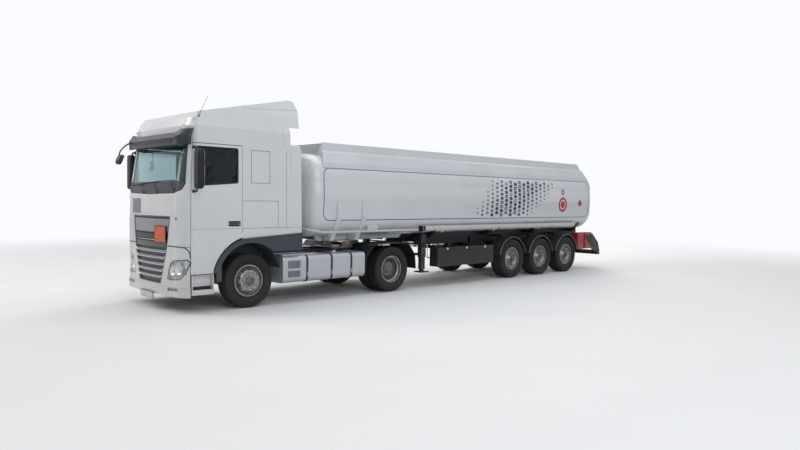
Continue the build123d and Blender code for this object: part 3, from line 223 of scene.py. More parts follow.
def tube_shape(path, radius, sides=12, closed=False):
    """A round tube along a path: each ring stands square to the path, turned as little as possible from the
    last."""
    path = np.asarray(path, float)
    steps = np.gradient(path, axis=0)
    if closed:
        steps = np.roll(path, -1, 0) - np.roll(path, 1, 0)
    ways = steps / np.linalg.norm(steps, axis=1, keepdims=True)
    helper = np.array([0.0, 0, 1]) if abs(ways[0, 2]) < 0.9 else np.array([1.0, 0, 0])
    across = np.empty_like(path)
    for i, way in enumerate(ways):
        helper = helper - way * (helper @ way)
        helper /= np.linalg.norm(helper)
        across[i] = helper
    other = np.cross(ways, across)
    angles = np.linspace(0, 2 * math.pi, sides, endpoint=False)
    reach = np.broadcast_to(np.asarray(radius, float).reshape(-1, 1, 1), (len(path), 1, 1))
    rings = path[:, None] + reach * (np.cos(angles)[None, :, None] * across[:, None]
                                     + np.sin(angles)[None, :, None] * other[:, None])
    if closed:
        return patch(rings, wrap_rows=True, wrap_cols=True)
    ends = [np.repeat(path[:1, None], sides, 1), rings, np.repeat(path[-1:, None], sides, 1)]
    return patch(np.concatenate(ends), wrap_cols=True)


def rounded_loop(half_w, half_h, radius, steps=6):
    """Points round a rectangle with rounded corners, as an array of two columns."""
    turns = np.linspace(0, math.pi / 2, steps)
    arcs = []
    for quarter, (sx, sy) in enumerate(((1, 1), (-1, 1), (-1, -1), (1, -1))):
        angle = turns + quarter * math.pi / 2
        arcs.append(np.stack([sx * (half_w - radius) + radius * np.cos(angle),
                              sy * (half_h - radius) + radius * np.sin(angle)], -1))
    return np.concatenate(arcs)


def plate_shape(loop, depth, lip=0.0):
    """A plate from a loop in the XZ plane: its rings run from the middle of the back over the edge to the
    middle of the front, which faces -Y. A lip rounds the front edge."""
    loop = np.asarray(loop, float)
    heart = loop.mean(0)
    rings = []
    inner = 1 - lip / max(np.ptp(loop[:, 0]), 1e-6)
    for share, y in ((0, 0), (1, 0), (1, -depth + lip), (inner, -depth), (0, -depth)):
        flat = heart + (loop - heart) * share
        rings.append(spots(flat[:, 0], y, flat[:, 1]))
    return hull(rings)


# Finishes: each material reads Object coordinates, which are the row frame's own metres


def node(tree, kind, inputs=None, **settings):
    """Puts a shader node in the tree. An input takes a number, a colour or another node's output."""
    made = tree.nodes.new("ShaderNode" + kind)
    for key, value in settings.items():
        setattr(made, key, value)
    for key, value in (inputs or {}).items():
        if isinstance(value, bpy.types.NodeSocket):
            tree.links.new(value, made.inputs[key])
        else:
            made.inputs[key].default_value = value
    return made


def shade(colour, share=1.0):
    """A colour with its fourth value, brightened or darkened by a share."""
    return (*[min(1.0, c * share) for c in colour[:3]], 1.0)


def mixed(tree, share, low, high, blend="MIX"):
    """A colour between low and high by a share from 0 to 1."""
    mix = node(tree, "Mix", data_type="RGBA", blend_type=blend)
    for index, value in ((0, share), (6, low), (7, high)):
        if isinstance(value, bpy.types.NodeSocket):
            tree.links.new(value, mix.inputs[index])
        else:
            mix.inputs[index].default_value = value
    return mix.outputs[2]


def ranged(tree, value, start, end, low, high, smooth=False):
    """value carried from start..end to low..high and held there outside."""
    return node(tree, "MapRange", {"Value": value, "From Min": start, "From Max": end, "To Min": low,
        "To Max": high}, interpolation_type="SMOOTHSTEP" if smooth else "LINEAR").outputs["Result"]


def calc(tree, operation, a, b=0.0):
    """One step of arithmetic on a value of the surface."""
    return node(tree, "Math", {0: a, 1: b}, operation=operation).outputs["Value"]


DUST = (0.30, 0.25, 0.20)


def new_material(name):
    """A new material: itself, its node tree, its shader and the socket of its Object coordinates."""
    material = bpy.data.materials.new(name)
    material.use_nodes = True
    tree = material.node_tree
    return material, tree, tree.nodes["Principled BSDF"], node(tree, "TexCoord").outputs["Object"]


def set_inputs(shader, **values):
    """Sets a shader's plain inputs; an underscore stands for a space in an input's name."""
    for key, value in values.items():
        shader.inputs[key.replace("_", " ")].default_value = value


def finish(name, colour, rough, vary, grain, bump, dust, metallic=0.0, coat=0.0, cloud=1.6, dust_top=1.3,
           stretch=(1, 1, 1), transmission=0.0, ior=1.5, speckle=0.0, wings=None):
    """A worn finish: slow clouds of lighter and darker colour, a fine grain in its gloss and surface, and
    road dust that thickens towards the ground below dust_top. Wings give a second colour, the distance from
    the middle plane beyond which it starts, and the Y at which it ends."""
    material, tree, shader, place = new_material(name)
    spread = node(tree, "Mapping", {"Vector": place, "Scale": stretch}).outputs["Vector"]
    clouds = node(tree, "TexNoise", {"Vector": spread, "Scale": cloud, "Detail": 6.0,
        "Roughness": 0.6}).outputs["Fac"]
    fine = node(tree, "TexNoise", {"Vector": spread, "Scale": grain, "Detail": 3.0,
        "Roughness": 0.55}).outputs["Fac"]
    tone = mixed(tree, ranged(tree, clouds, 0.3, 0.7, 0, 1, True), shade(colour, 1 - vary),
        shade(colour, 1 + vary))
    if wings:
        spot = node(tree, "SeparateXYZ", {"Vector": place})
        outside = calc(tree, "GREATER_THAN", calc(tree, "ABSOLUTE", spot.outputs["X"]), wings[1])
        ahead = calc(tree, "LESS_THAN", spot.outputs["Y"], wings[2])
        tone = mixed(tree, calc(tree, "MULTIPLY", outside, ahead), tone, shade(wings[0]))
    if speckle:
        tone = mixed(tree, ranged(tree, fine, 0.52, 0.72, 0, speckle), tone, shade(colour, 0.45))
    if dust:
        height = node(tree, "SeparateXYZ", {"Vector": place}).outputs["Z"]
        low = ranged(tree, height, dust_top, 0.1, 0.0, 1.0, True)
        patchy = ranged(tree, clouds, 0.3, 0.75, 0.25, 1.0)
        veil = calc(tree, "MULTIPLY", calc(tree, "MULTIPLY", low, patchy), dust)
        tone = mixed(tree, veil, tone, shade(DUST))
    tree.links.new(tone, shader.inputs["Base Color"])
    gloss = ranged(tree, calc(tree, "ADD", clouds, fine), 0.7, 1.3, rough * 0.8, min(1.0, rough * 1.25))
    tree.links.new(gloss, shader.inputs["Roughness"])
    relief = node(tree, "Bump", {"Height": fine, "Strength": 0.5, "Distance": bump}).outputs["Normal"]
    tree.links.new(relief, shader.inputs["Normal"])
    set_inputs(shader, Metallic=metallic, Coat_Weight=coat, Coat_Roughness=0.06,
        Transmission_Weight=transmission, IOR=ior)
    return material


FINISHES = {}


def made(name):
    """A finish by name; each is built once, from its row in the table."""
    if name not in FINISHES:
        *columns, rest = finish_table(bpy.context.scene.tanker_colours)[name]
        FINISHES[name] = finish(name, *columns, **rest)
    return FINISHES[name]


def finish_table(colours):
    """What each finish is made of. Columns: colour, roughness, spread of its clouds, grain, bump, dust, and
    the rest."""
    black = (0.016, 0.016, 0.018)
    return {
        "cab_white": (colours.cab, 0.28, 0.02, 260, 0.00004, 0.35, dict(coat=0.5, cloud=0.7, dust_top=1.5)),
        "tank_white": (colours.tank, 0.24, 0.025, 180, 0.00004, 0.4, dict(coat=0.6, cloud=0.5, dust_top=1.75)),
        "coaming_white": (colours.coaming, 0.4, 0.04, 120, 0.0001, 0, dict(coat=0.2, cloud=1.1, speckle=0.12)),
        "trailer_black": (black, 0.42, 0.3, 90, 0.0004, 0.22, dict(dust_top=1.4, ior=1.38)),
        "frame_grey": ((0.024, 0.026, 0.029), 0.46, 0.25, 90, 0.0005, 0.3, dict(dust_top=1.3, ior=1.42)),
        "trailer_rails": (black, 0.42, 0.3, 90, 0.0004, 0.22,
            dict(dust_top=1.4, ior=1.38, wings=(colours.tank, 0.63, at(4.98)))),
        "cast_iron": ((0.05, 0.047, 0.044), 0.62, 0.3, 150, 0.002, 0.6, dict(metallic=0.5)),
        "rubbed_steel": ((0.42, 0.41, 0.39), 0.3, 0.3, 60, 0.0006, 0,
            dict(metallic=1.0, cloud=5, stretch=(1, 6, 1), speckle=0.4)),
        "bright_steel": ((0.60, 0.60, 0.61), 0.22, 0.08, 200, 0.0002, 0, dict(metallic=1.0)),
        "chrome": ((0.78, 0.79, 0.80), 0.08, 0.03, 90, 0.00005, 0, dict(metallic=1.0)),
        "mirror_glass": ((0.55, 0.58, 0.60), 0.03, 0.02, 90, 0.00001, 0, dict(metallic=1.0, cloud=3)),
        "wheel_silver": (colours.rims, 0.36, 0.16, 80, 0.0005, 0.5,
            dict(metallic=0.55, cloud=5, dust_top=1.1, speckle=0.2)),
        "hub_grey": ((0.09, 0.088, 0.086), 0.5, 0.3, 90, 0.0008, 0.5, dict(metallic=0.4, cloud=8)),
        "rubber": ((0.016, 0.016, 0.017), 0.72, 0.2, 140, 0.0012, 0.06, dict(cloud=4, dust_top=1.0, ior=1.34)),
        "band_rubber": ((0.014, 0.014, 0.015), 0.55, 0.2, 200, 0.0006, 0, {}),
        "arch_plastic": (colours.arches, 0.62, 0.1, 300, 0.0005, 0.3, {}),
        "black_plastic": (black, 0.45, 0.15, 380, 0.0006, 0, dict(ior=1.4)),
        "mirror_black": ((0.009, 0.010, 0.013), 0.4, 0.15, 380, 0.0004, 0, dict(ior=1.33)),
        "gloss_black": ((0.010, 0.011, 0.013), 0.12, 0.1, 120, 0.00006, 0, dict(coat=0.5)),
        "smoked": ((0.011, 0.014, 0.022), 0.42, 0.12, 90, 0.00004, 0, dict(cloud=2.4)),
        "grille_dark": ((0.032, 0.034, 0.038), 0.4, 0.12, 240, 0.0004, 0, {}),
        "grille_silver": ((0.30, 0.31, 0.33), 0.3, 0.06, 300, 0.0001, 0, dict(metallic=0.7)),
        "step_grey": ((0.17, 0.17, 0.18), 0.6, 0.15, 160, 0.001, 0.4, {}),
        "alloy": (colours.fuel_tank, 0.34, 0.08, 46, 0.0003, 0.3,
            dict(metallic=0.45, cloud=3, stretch=(1, 0.12, 1), dust_top=1.0)),
        "checker_plate": ((0.40, 0.41, 0.42), 0.46, 0.12, 50, 0.004, 0, dict(metallic=0.6)),
        "box_black": ((0.015, 0.0155, 0.018), 0.4, 0.2, 150, 0.0006, 0.1, dict(ior=1.38)),
        "red": (colours.boxes, 0.38, 0.12, 120, 0.0003, 0.3, dict(coat=0.2)),
        "valve_alloy": ((0.45, 0.46, 0.47), 0.32, 0.15, 90, 0.0006, 0.3, dict(metallic=0.9, cloud=9)),
        "tube_white": ((0.50, 0.51, 0.52), 0.38, 0.06, 90, 0.0002, 0.5, dict(dust_top=1.8)),
        "cabin_grey": ((0.10, 0.10, 0.105), 0.6, 0.1, 420, 0.0008, 0, {}),
        "cabin_dark": ((0.028, 0.028, 0.032), 0.6, 0.15, 420, 0.0008, 0, {}),
        "lamp_clear": ((0.86, 0.89, 0.90), 0.04, 0.02, 90, 0.0001, 0, dict(transmission=0.9, ior=1.45)),
        "lamp_silver": ((0.46, 0.44, 0.40), 0.3, 0.15, 90, 0.0003, 0, dict(metallic=0.5, cloud=14)),
        "lamp_red": ((0.42, 0.012, 0.014), 0.15, 0.1, 500, 0.001, 0, dict(coat=0.5)),
        "lamp_amber": ((0.75, 0.22, 0.02), 0.15, 0.1, 500, 0.001, 0, dict(coat=0.5)),
        "lamp_white": ((0.75, 0.76, 0.76), 0.15, 0.05, 500, 0.001, 0, dict(coat=0.5)),
        "plate_orange": (colours.plate, 0.35, 0.06, 500, 0.0003, 0, dict(cloud=9)),
        "plate_white": ((0.60, 0.60, 0.58), 0.35, 0.05, 400, 0.0002, 0, dict(cloud=9)),
        "plate_grey": ((0.17, 0.18, 0.19), 0.3, 0.1, 90, 0.0006, 0, dict(metallic=0.3, cloud=7)),
        "placard_red": ((0.38, 0.018, 0.03), 0.35, 0.06, 300, 0.0002, 0, dict(cloud=9)),
        "mark_blue": (colours.stripe, 0.35, 0.1, 200, 0.00003, 0, dict(cloud=2)),
        "mark_dark": (colours.pattern, 0.35, 0.12, 200, 0.00003, 0, dict(cloud=2)),
        "seam_shadow": ((0.045, 0.045, 0.048), 0.7, 0.2, 200, 0.0006, 0, {}),
    }


def glass(name, tint, band, band_from, band_to, rough=0.02):
    """Tinted glass, darker between two heights, with a faint film of dust."""
    material, tree, shader, place = new_material(name)
    height = node(tree, "SeparateXYZ", {"Vector": place}).outputs["Z"]
    film = node(tree, "TexNoise", {"Vector": place, "Scale": 5.0, "Detail": 4.0}).outputs["Fac"]
    shaded = ranged(tree, height, band_from, band_to, 0.0, 1.0, True)
    tone = mixed(tree, shaded, shade(tint), shade(band))
    tree.links.new(mixed(tree, ranged(tree, film, 0.4, 0.8, 0.0, 0.12), tone, shade(DUST)),
        shader.inputs["Base Color"])
    tree.links.new(ranged(tree, film, 0.35, 0.8, rough, rough + 0.05), shader.inputs["Roughness"])
    set_inputs(shader, Transmission_Weight=1.0, IOR=1.25)
    return material


def cloth(name, colour, thread=900.0):
    """Woven seat cloth: two crossed bands of threads raise the surface, with painted shade in the gaps between
    threads, under slow wear.
    """
    material, tree, shader, place = new_material(name)
    bands = [node(tree, "TexWave", {"Vector": place, "Scale": thread, "Distortion": 0.6}, wave_type="BANDS",
                  bands_direction=way).outputs["Fac"] for way in "XZ"]
    weave = calc(tree, "MAXIMUM", bands[0], bands[1])
    wear = node(tree, "TexNoise", {"Vector": place, "Scale": 6.0, "Detail": 5.0}).outputs["Fac"]
    worn = mixed(tree, ranged(tree, wear, 0.35, 0.7, 0, 1, True), shade(colour, 0.8), shade(colour, 1.25))
    # Painted shade: the colour darkens where the weave sinks between the threads.
    tree.links.new(mixed(tree, ranged(tree, weave, 0, 1, 0.35, 0.0), worn, shade(colour, 0.5)),
        shader.inputs["Base Color"])
    tree.links.new(node(tree, "Bump", {"Height": weave, "Strength": 0.4, "Distance": 0.001}).outputs["Normal"],
                   shader.inputs["Normal"])
    set_inputs(shader, Roughness=0.9, Sheen_Weight=0.3)
    return material


NODE_FINISHES = {
    "cab_white": ("cab_shell", "cab_roof", "door_left", "door_right", "bumper", "side_fairings",
                  "entry_steps"),
    "smoked": ("sun_visor",),
    "black_plastic": ("front_mirror", "mirror_left", "mirror_right", "drive_mudguards"),
    "lamp_clear": ("headlights",),
    "grille_dark": ("grille",),
    "arch_plastic": ("wheel_arches",),
    "alloy": ("fuel_tanks",),
    "band_rubber": ("tank_straps",),
    "cabin_grey": ("dashboard",),
    "cast_iron": ("engine_block", "front_axle", "knuckle_left", "knuckle_right", "drive_axle",
        "trailer_axles"),
    "frame_grey": ("tractor_frame",),
    "rubbed_steel": ("coupling_plate",),
    "wheel_silver": ("front_rim_left", "front_rim_right", "drive_rims_left", "drive_rims_right"),
    "tank_white": ("tank",),
    "coaming_white": ("coaming",),
    "valve_alloy": ("outlet_valves", "tank_cover_1", "tank_cover_2", "tank_cover_3"),
    "trailer_rails": ("trailer_frame",),
    "trailer_black": ("landing_legs", "rear_guard", "trailer_mudguards"),
    "tube_white": ("side_tubes",),
    "box_black": ("side_box",),
    "red": ("extinguisher_boxes",),
    "bright_steel": ("rear_ladder",),
}


def swatch(name, description, default):
    """A colour property."""
    return bpy.props.FloatVectorProperty(name=name, description=description, subtype="COLOR", size=3, min=0,
        max=1, default=default)


class TankerColours(bpy.types.PropertyGroup):
    """Colours that a user would change."""
    cab: swatch("Cab paint", "Colour of the cab's paint", (0.62, 0.625, 0.63))
    tank: swatch("Tank paint", "Colour of the tank's paint", (0.60, 0.61, 0.625))
    coaming: swatch("Coaming paint", "Colour of the band along the tank's top", (0.54, 0.555, 0.57))
    arches: swatch("Arch plastic", "Colour of the front wheel arches", (0.030, 0.036, 0.050))
    rims: swatch("Rim paint", "Colour of the steel rims", (0.26, 0.26, 0.27))
    fuel_tank: swatch("Fuel tank", "Colour of the tank rows' alloy", (0.46, 0.49, 0.52))
    boxes: swatch("Box red", "Colour of the extinguisher boxes", (0.33, 0.016, 0.022))
    plate: swatch("Plate orange", "Colour of the blank plate on the grille", (0.62, 0.085, 0.018))
    stripe: swatch("Outline blue", "Colour of the thin outline on the tank", (0.10, 0.17, 0.33))
    pattern: swatch("Pattern dark", "Colour of the graded pattern on the tank", (0.022, 0.028, 0.042))


class TankerSizes(bpy.types.PropertyGroup):
    """Sizes that a user would change."""
    groove_depth: bpy.props.FloatProperty(name="Groove depth", description="Depth of the tread grooves",
        subtype="DISTANCE", unit="LENGTH", min=0, max=0.03, default=0.014)
    wheel_nuts: bpy.props.IntProperty(name="Wheel nuts", description="Nuts round each wheel's hub", min=4,
        max=12, default=10)
    outline_width: bpy.props.FloatProperty(name="Outline width",
        description="Width of the outline on the tank", subtype="DISTANCE", unit="LENGTH", min=0.005, max=0.1,
        default=0.022)


class TANKER_OT_frame_finishes(bpy.types.Operator):
    """Gives every CAD node its finish"""
    bl_idname = "tanker.frame_finishes"
    bl_label = "Frame finishes"

    def execute(self, context):
        finishes = {name: made(finish_name) for finish_name, names in NODE_FINISHES.items() for name in names}
        finishes["windscreen"] = glass("screen_glass", (0.62, 0.86, 0.88), (0.30, 0.52, 0.56), 2.75, 2.95)
        for side, _ in SIDES:
            finishes[f"door_glass_{side}"] = glass("door_glass", (0.35, 0.40, 0.42), (0.2, 0.24, 0.26), 2.8,
                2.94)
        finishes["seats"] = cloth("seat_cloth", (0.045, 0.048, 0.055))
        finishes["bunk"] = cloth("bunk_cloth", (0.11, 0.11, 0.12))
        for name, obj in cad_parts.items():
            obj.data.materials.clear()
            obj.data.materials.append(finishes.get(name) or made("rubber"))
            obj.data.set_sharp_from_angle(angle=math.radians(32))
        return {"FINISHED"}


def arc_points(a, b, c, steps):
    """Points along the circle through a, b and c, from a to c: its middle is where the chords' bisectors
    cross."""
    a, b, c = (np.asarray(p, float) for p in (a, b, c))
    rows = 2 * np.stack([b - a, c - a])
    heart = np.linalg.solve(rows, np.array([b @ b - a @ a, c @ c - a @ a]))
    angles = [math.atan2(*(p - heart)[::-1]) for p in (a, b, c)]
    turn = (angles[2] - angles[0]) % (2 * math.pi)
    if (angles[1] - angles[0]) % (2 * math.pi) > turn:
        turn -= 2 * math.pi
    sweep = angles[0] + np.linspace(0, turn, steps)
    return heart + np.linalg.norm(a - heart) * np.stack([np.cos(sweep), np.sin(sweep)], -1)


# Tyres: columns are the width, the rim's half width, the bars' count and the grooves' places across
TREADS = {
    "steer": (0.312, 0.125, 0, (-0.094, -0.032, 0.032, 0.094)),
    "drive": (0.312, 0.125, 56, (-0.056, 0.056)),
    "trailer": (0.385, 0.158, 0, (-0.118, -0.04, 0.04, 0.118)),
}
SEAT_R, BEAD_R = 0.2863, 0.305
GROOVE_HALF = 0.0055


def tyre_shape(kind, radius, depth, steps):
    """A tyre turned round X: bead, bulging wall, shoulder and a bowed tread. The tread's radius drops by
    depth where a groove runs, and on a drive tyre also in slanted bars between the shoulders and the
    middle."""
    width, rim_half, bars, grooves = TREADS[kind]
    half, foot = width / 2, rim_half - 0.0123
    wall = arc_points((foot, BEAD_R), (half, radius - 0.118), (half - 0.014, radius - 0.024), 15)
    ridge = 0.0016 * np.exp(-((wall[:, 1] - radius + 0.155) / 0.004) ** 2) + 0.0014 * np.exp(
        -((wall[:, 1] - BEAD_R - 0.02) / 0.003) ** 2)
    wall[1:-1, 0] += ridge[1:-1]
    edge = half - 0.027
    across = np.unique(np.concatenate([np.linspace(-edge, edge, 25 if bars else 13)]
        + [g + GROOVE_HALF * np.array([-1.3, -0.8, 0.8, 1.3]) for g in grooves]))
    crown = radius - 0.009 * (across / edge) ** 2
    right = np.concatenate([[(foot, SEAT_R)], wall])
    profile = np.concatenate([right * (-1, 1), np.stack([across, crown], -1), right[::-1], [(-foot, SEAT_R)]])
    first = len(right)
    angles = np.linspace(0, 2 * math.pi, steps, endpoint=False)[:, None]
    reach = np.tile(profile[:, 1], (steps, 1))
    sunk = np.zeros((steps, len(across)))
    for g in grooves:
        sunk = np.maximum(sunk, (np.abs(across - g) < GROOVE_HALF)[None])
    if bars:
        lean = np.where(np.abs(across) > grooves[1], 0.35, -0.5) * np.abs(across)[None] / edge
        phase = (angles * bars / (2 * math.pi) + lean + 0.5 * (across > 0)) % 1
        sunk = np.maximum(sunk, (phase < 0.3) & (np.abs(across)[None] < edge * 1.01))
        shoulder = ((angles * bars / (2 * math.pi) + 0.35) % 1 < 0.3) * 0.008
        reach[:, first - 1] -= shoulder[:, 0]
        reach[:, first + len(across)] -= shoulder[:, 0]
    reach[:, first:first + len(across)] -= depth * sunk
    return patch(spots(profile[:, 0], reach * np.sin(angles), reach * np.cos(angles)), wrap_rows=True)


def nut_ring(x, way, radius, count, across=0.0165, height=0.021):
    """Wheel nuts on a circle of the given radius: each is a six-sided prism with a bevelled head and a stud's
    tip."""
    profile = [(0.0, across * 1.45), (0.004, across * 1.45), (0.004, across), (height - 0.003, across),
               (height, across * 0.86), (height, across * 0.48), (height + 0.008, across * 0.44),
               (height + 0.010, across * 0.2), (height + 0.010, 0.0)]
    out, r = np.array(profile).T
    turn = np.linspace(0, 2 * math.pi, 12, endpoint=False)
    six = 1 / np.cos((turn + math.pi / 6) % (math.pi / 3) - math.pi / 6)
    shape = np.where(np.isin(np.arange(len(r)), (2, 3, 4))[:, None], six[None], 1.0)
    rings = spots((x + way * out)[:, None], r[:, None] * shape * np.cos(turn),
        r[:, None] * shape * np.sin(turn))
    nuts = []
    for angle in np.arange(count) * 2 * math.pi / count:
        c, s = math.cos(angle), math.sin(angle)
        placed = rings.copy()
        placed[..., 1] = rings[..., 1] * c - (rings[..., 2] + radius) * s
        placed[..., 2] = rings[..., 1] * s + (rings[..., 2] + radius) * c
        nuts.append(patch(placed, wrap_cols=True))
    return join(nuts)


def merged_copy(name, keep):
    """A CAD node's mesh with its doubled points merged, less the islands that keep turns down by their own
    points."""
    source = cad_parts[name].data
    work = bmesh.new()
    work.from_mesh(source)
    bmesh.ops.remove_doubles(work, verts=work.verts, dist=1e-5)
    seen, dropped = set(), []
    for start in work.verts:
        if start.index in seen:
            continue
        island, queue = [start], [start]
        seen.add(start.index)
        while queue:
            for edge in queue.pop().link_edges:
                for corner in edge.verts:
                    if corner.index not in seen:
                        seen.add(corner.index)
                        island.append(corner)
                        queue.append(corner)
        if not keep(np.array([corner.co for corner in island])):
            dropped += island
    bmesh.ops.delete(work, geom=dropped, context="VERTS")
    mesh = bpy.data.meshes.new(name + "_copy")
    work.to_mesh(mesh)
    work.free()
    return mesh


class TANKER_OT_tyres(bpy.types.Operator):
    """Turns every tyre, with ribs on the steered and trailer wheels and bars on the driven ones"""
    bl_idname = "tanker.tyres"
    bl_label = "Tyres"

    def execute(self, context):
        depth = context.scene.tanker_sizes.groove_depth
        for side, s in SIDES:
            shape = moved(tyre_shape("steer", TYRE_R, depth, 96), middle(f"front_tyre_{side}"))
            add_piece(f"steer_tread_{side}", shape, f"front_wheel_{side}", "rubber",
                      replaces=f"front_tyre_{side}")
            outer, inner = TWINS
            twins = [moved(tyre_shape("drive", TYRE_R, depth * 1.2, 336), (s * x, DRIVE_AXLE, TYRE_R))
                     for x in (outer, inner)]
            add_piece(f"drive_tread_{side}", join(twins), f"drive_wheels_{side}", "rubber",
                      replaces=f"drive_tyres_{side}")
            for n, y in enumerate(TRAILER_AXLES, 1):
                name = f"trailer_wheel_{n}_{side}"
                shape = moved(tyre_shape("trailer", TRAILER_TYRE_R, depth, 96),
                    (s * TRAILER_X, y, TRAILER_TYRE_R))
                add_piece(f"trailer_tread_{n}_{side}", shape, name, "rubber", replaces=name)
        return {"FINISHED"}


class TANKER_OT_wheel_details(bpy.types.Operator):
    """Sets the nuts, hub caps and valves on the wheels, and gives the trailer's rims their own paint"""
    bl_idname = "tanker.wheel_details"
    bl_label = "Wheel details"

    def execute(self, context):
        count = context.scene.tanker_sizes.wheel_nuts
        for side, s in SIDES:
            place = (s * 1.195, FRONT_AXLE, TYRE_R)
            self.dress(f"front_{side}", f"front_wheel_{side}", place, s, count, 0.028)
            place = (s * (sum(TWINS) / 2 + 0.0121), DRIVE_AXLE, TYRE_R)
            self.dress(f"drive_{side}", f"drive_wheels_{side}", place, s, count, 0.183, 0.112)
            for n, y in enumerate(TRAILER_AXLES, 1):
                name = f"trailer_wheel_{n}_{side}"
                self.dress(name, name, (s * (TRAILER_X + 0.06), y, TRAILER_TYRE_R), s, count, 0.134, 0.062)
                rim = merged_copy(name, lambda points, y=y: np.hypot(points[:, 1] - y,
                    points[:, 2] - TRAILER_TYRE_R).max() < 0.35)
                for corner in rim.vertices:      # the bore stands a little off its facetted pin
                    way = Vector((0, corner.co.y - y, corner.co.z - TRAILER_TYRE_R))
                    if way.length < 0.045:
                        corner.co += way.normalized() * 0.0015
                creased(rim, 32)
                rim.materials.append(made("wheel_silver"))
                piece = linked(f"trailer_rim_{n}_{side}", rim)
                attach(piece, name)
                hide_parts(name)
        return {"FINISHED"}

    def dress(self, name, body, place, s, count, out, cap_r=0.082):
        """The nuts, a hub cap whose crown runs into a rim bead, its ring of bolts and the tyre valve."""
        nuts = moved(nut_ring(0.0, s, 0.1675, count), place)
        add_piece(f"{name}_nuts", nuts, body, "rubbed_steel", smooth=30)
        cap = [(out - 0.03, cap_r * 1.12), (out, cap_r * 1.12), (out + 0.004, cap_r * 1.08),
            (out + 0.004, cap_r), (out + 0.016, cap_r * 0.96), (out + 0.022, cap_r * 0.86),
            (out + 0.024, cap_r * 0.5), (out + 0.019, cap_r * 0.42), (out + 0.019, 0.0)]
        profile = [(s * x, r) for x, r in cap]
        add_piece(f"{name}_cap", turned_shape(profile, place, 40), body, "hub_grey", smooth=30)
        bolts = moved(nut_ring(s * (out + 0.003), s, cap_r * 1.03, 8, 0.0075, 0.008), place)
        add_piece(f"{name}_cap_bolts", bolts, body, "rubbed_steel", smooth=30)
        x, y, z = place
        stem = [(x + s * 0.005, y - 0.196, z + 0.03), (x + s * 0.03, y - 0.21, z + 0.034),
                (x + s * 0.05, y - 0.222, z + 0.036)]
        add_piece(f"{name}_valve", tube_shape(stem, 0.0045, 8), body, "rubbed_steel")


# Tank: its section is eight arcs, its ends are dished. Columns: half width and height above the middle
TANK_MIDDLE = 2.115
TANK_ARCS = (((0.7, 0.865), (0, 0.885), (-0.7, 0.865)), ((-0.7, 0.865), (-1.105, 0.69), (-1.232, 0.28)),
    ((-1.232, 0.28), (-1.25, 0), (-1.232, -0.28)), ((-1.232, -0.28), (-1.09, -0.69), (-0.68, -0.858)),
    ((-0.68, -0.858), (0, -0.885), (0.68, -0.858)), ((0.68, -0.858), (1.09, -0.69), (1.232, -0.28)),
    ((1.232, -0.28), (1.25, 0), (1.232, 0.28)), ((1.232, 0.28), (1.105, 0.69), (0.7, 0.865)))
SEAM_FRONT, SEAM_REAR = at(1.64), at(11.88)
DISH_FRONT, DISH_REAR = 0.35, 0.36
DISH = ((0.0, 1.0), (0.18, 0.99), (0.38, 0.962), (0.55, 0.915), (0.69, 0.85), (0.8, 0.765), (0.89, 0.65),
        (0.96, 0.49), (1.0, 0.28))
SEAMS = (1.64, 3.62, 4.9, 6.05, 7.2, 8.6, 9.6, 11.88)        # Y of the weld beads, from the front axle
BEAD = ((-0.012, 0), (-0.006, 0.0009), (0, 0.0012), (0.006, 0.0009), (0.012, 0))     # step, rise
COVERS = (at(3.05), at(6.6), at(10.15))
COLLAR_R, COLLAR_TOP = 0.262, 3.08


def tank_loop(steps=14):
    """Points round the tank's section, from the eight arcs, as (x, height) rows."""
    return np.concatenate([arc_points(*arc, steps)[:-1] for arc in TANK_ARCS])


def tank_half(z):
    """Half the tank's width at height z, read off the section's right-hand flank."""
    loop = tank_loop(40)
    flank = loop[(loop[:, 0] > 0.69)]
    flank = flank[np.argsort(flank[:, 1])]
    return np.interp(np.asarray(z, float) - TANK_MIDDLE, flank[:, 1], flank[:, 0])


def tank_side(y, z, lift=0.0):
    """Points on the tank's left flank at places y and heights z, raised off the paint by lift along the
    outward way, which is square to the flank's slope."""
    x, slope = tank_half(z), (tank_half(z + 0.004) - tank_half(z - 0.004)) / 0.008
    length = np.hypot(1, slope)
    return spots(x + lift / length, y, z - lift * slope / length)


def smooth_curve(points, steps):
    """A Catmull-Rom curve: each run between two points is a cubic whose slopes come from their neighbours."""
    p = np.asarray(points, float)
    p = np.concatenate([2 * p[:1] - p[1:2], p, 2 * p[-1:] - p[-2:-1]])
    t = np.linspace(0, 1, steps, endpoint=False)[:, None]
    runs = [0.5 * (2 * b + (c - a) * t + (2 * a - 5 * b + 4 * c - d) * t ** 2
        + (3 * b - a - 3 * c + d) * t ** 3) for a, b, c, d in zip(p, p[1:], p[2:], p[3:])]
    return np.concatenate(runs + [p[-2:-1]])


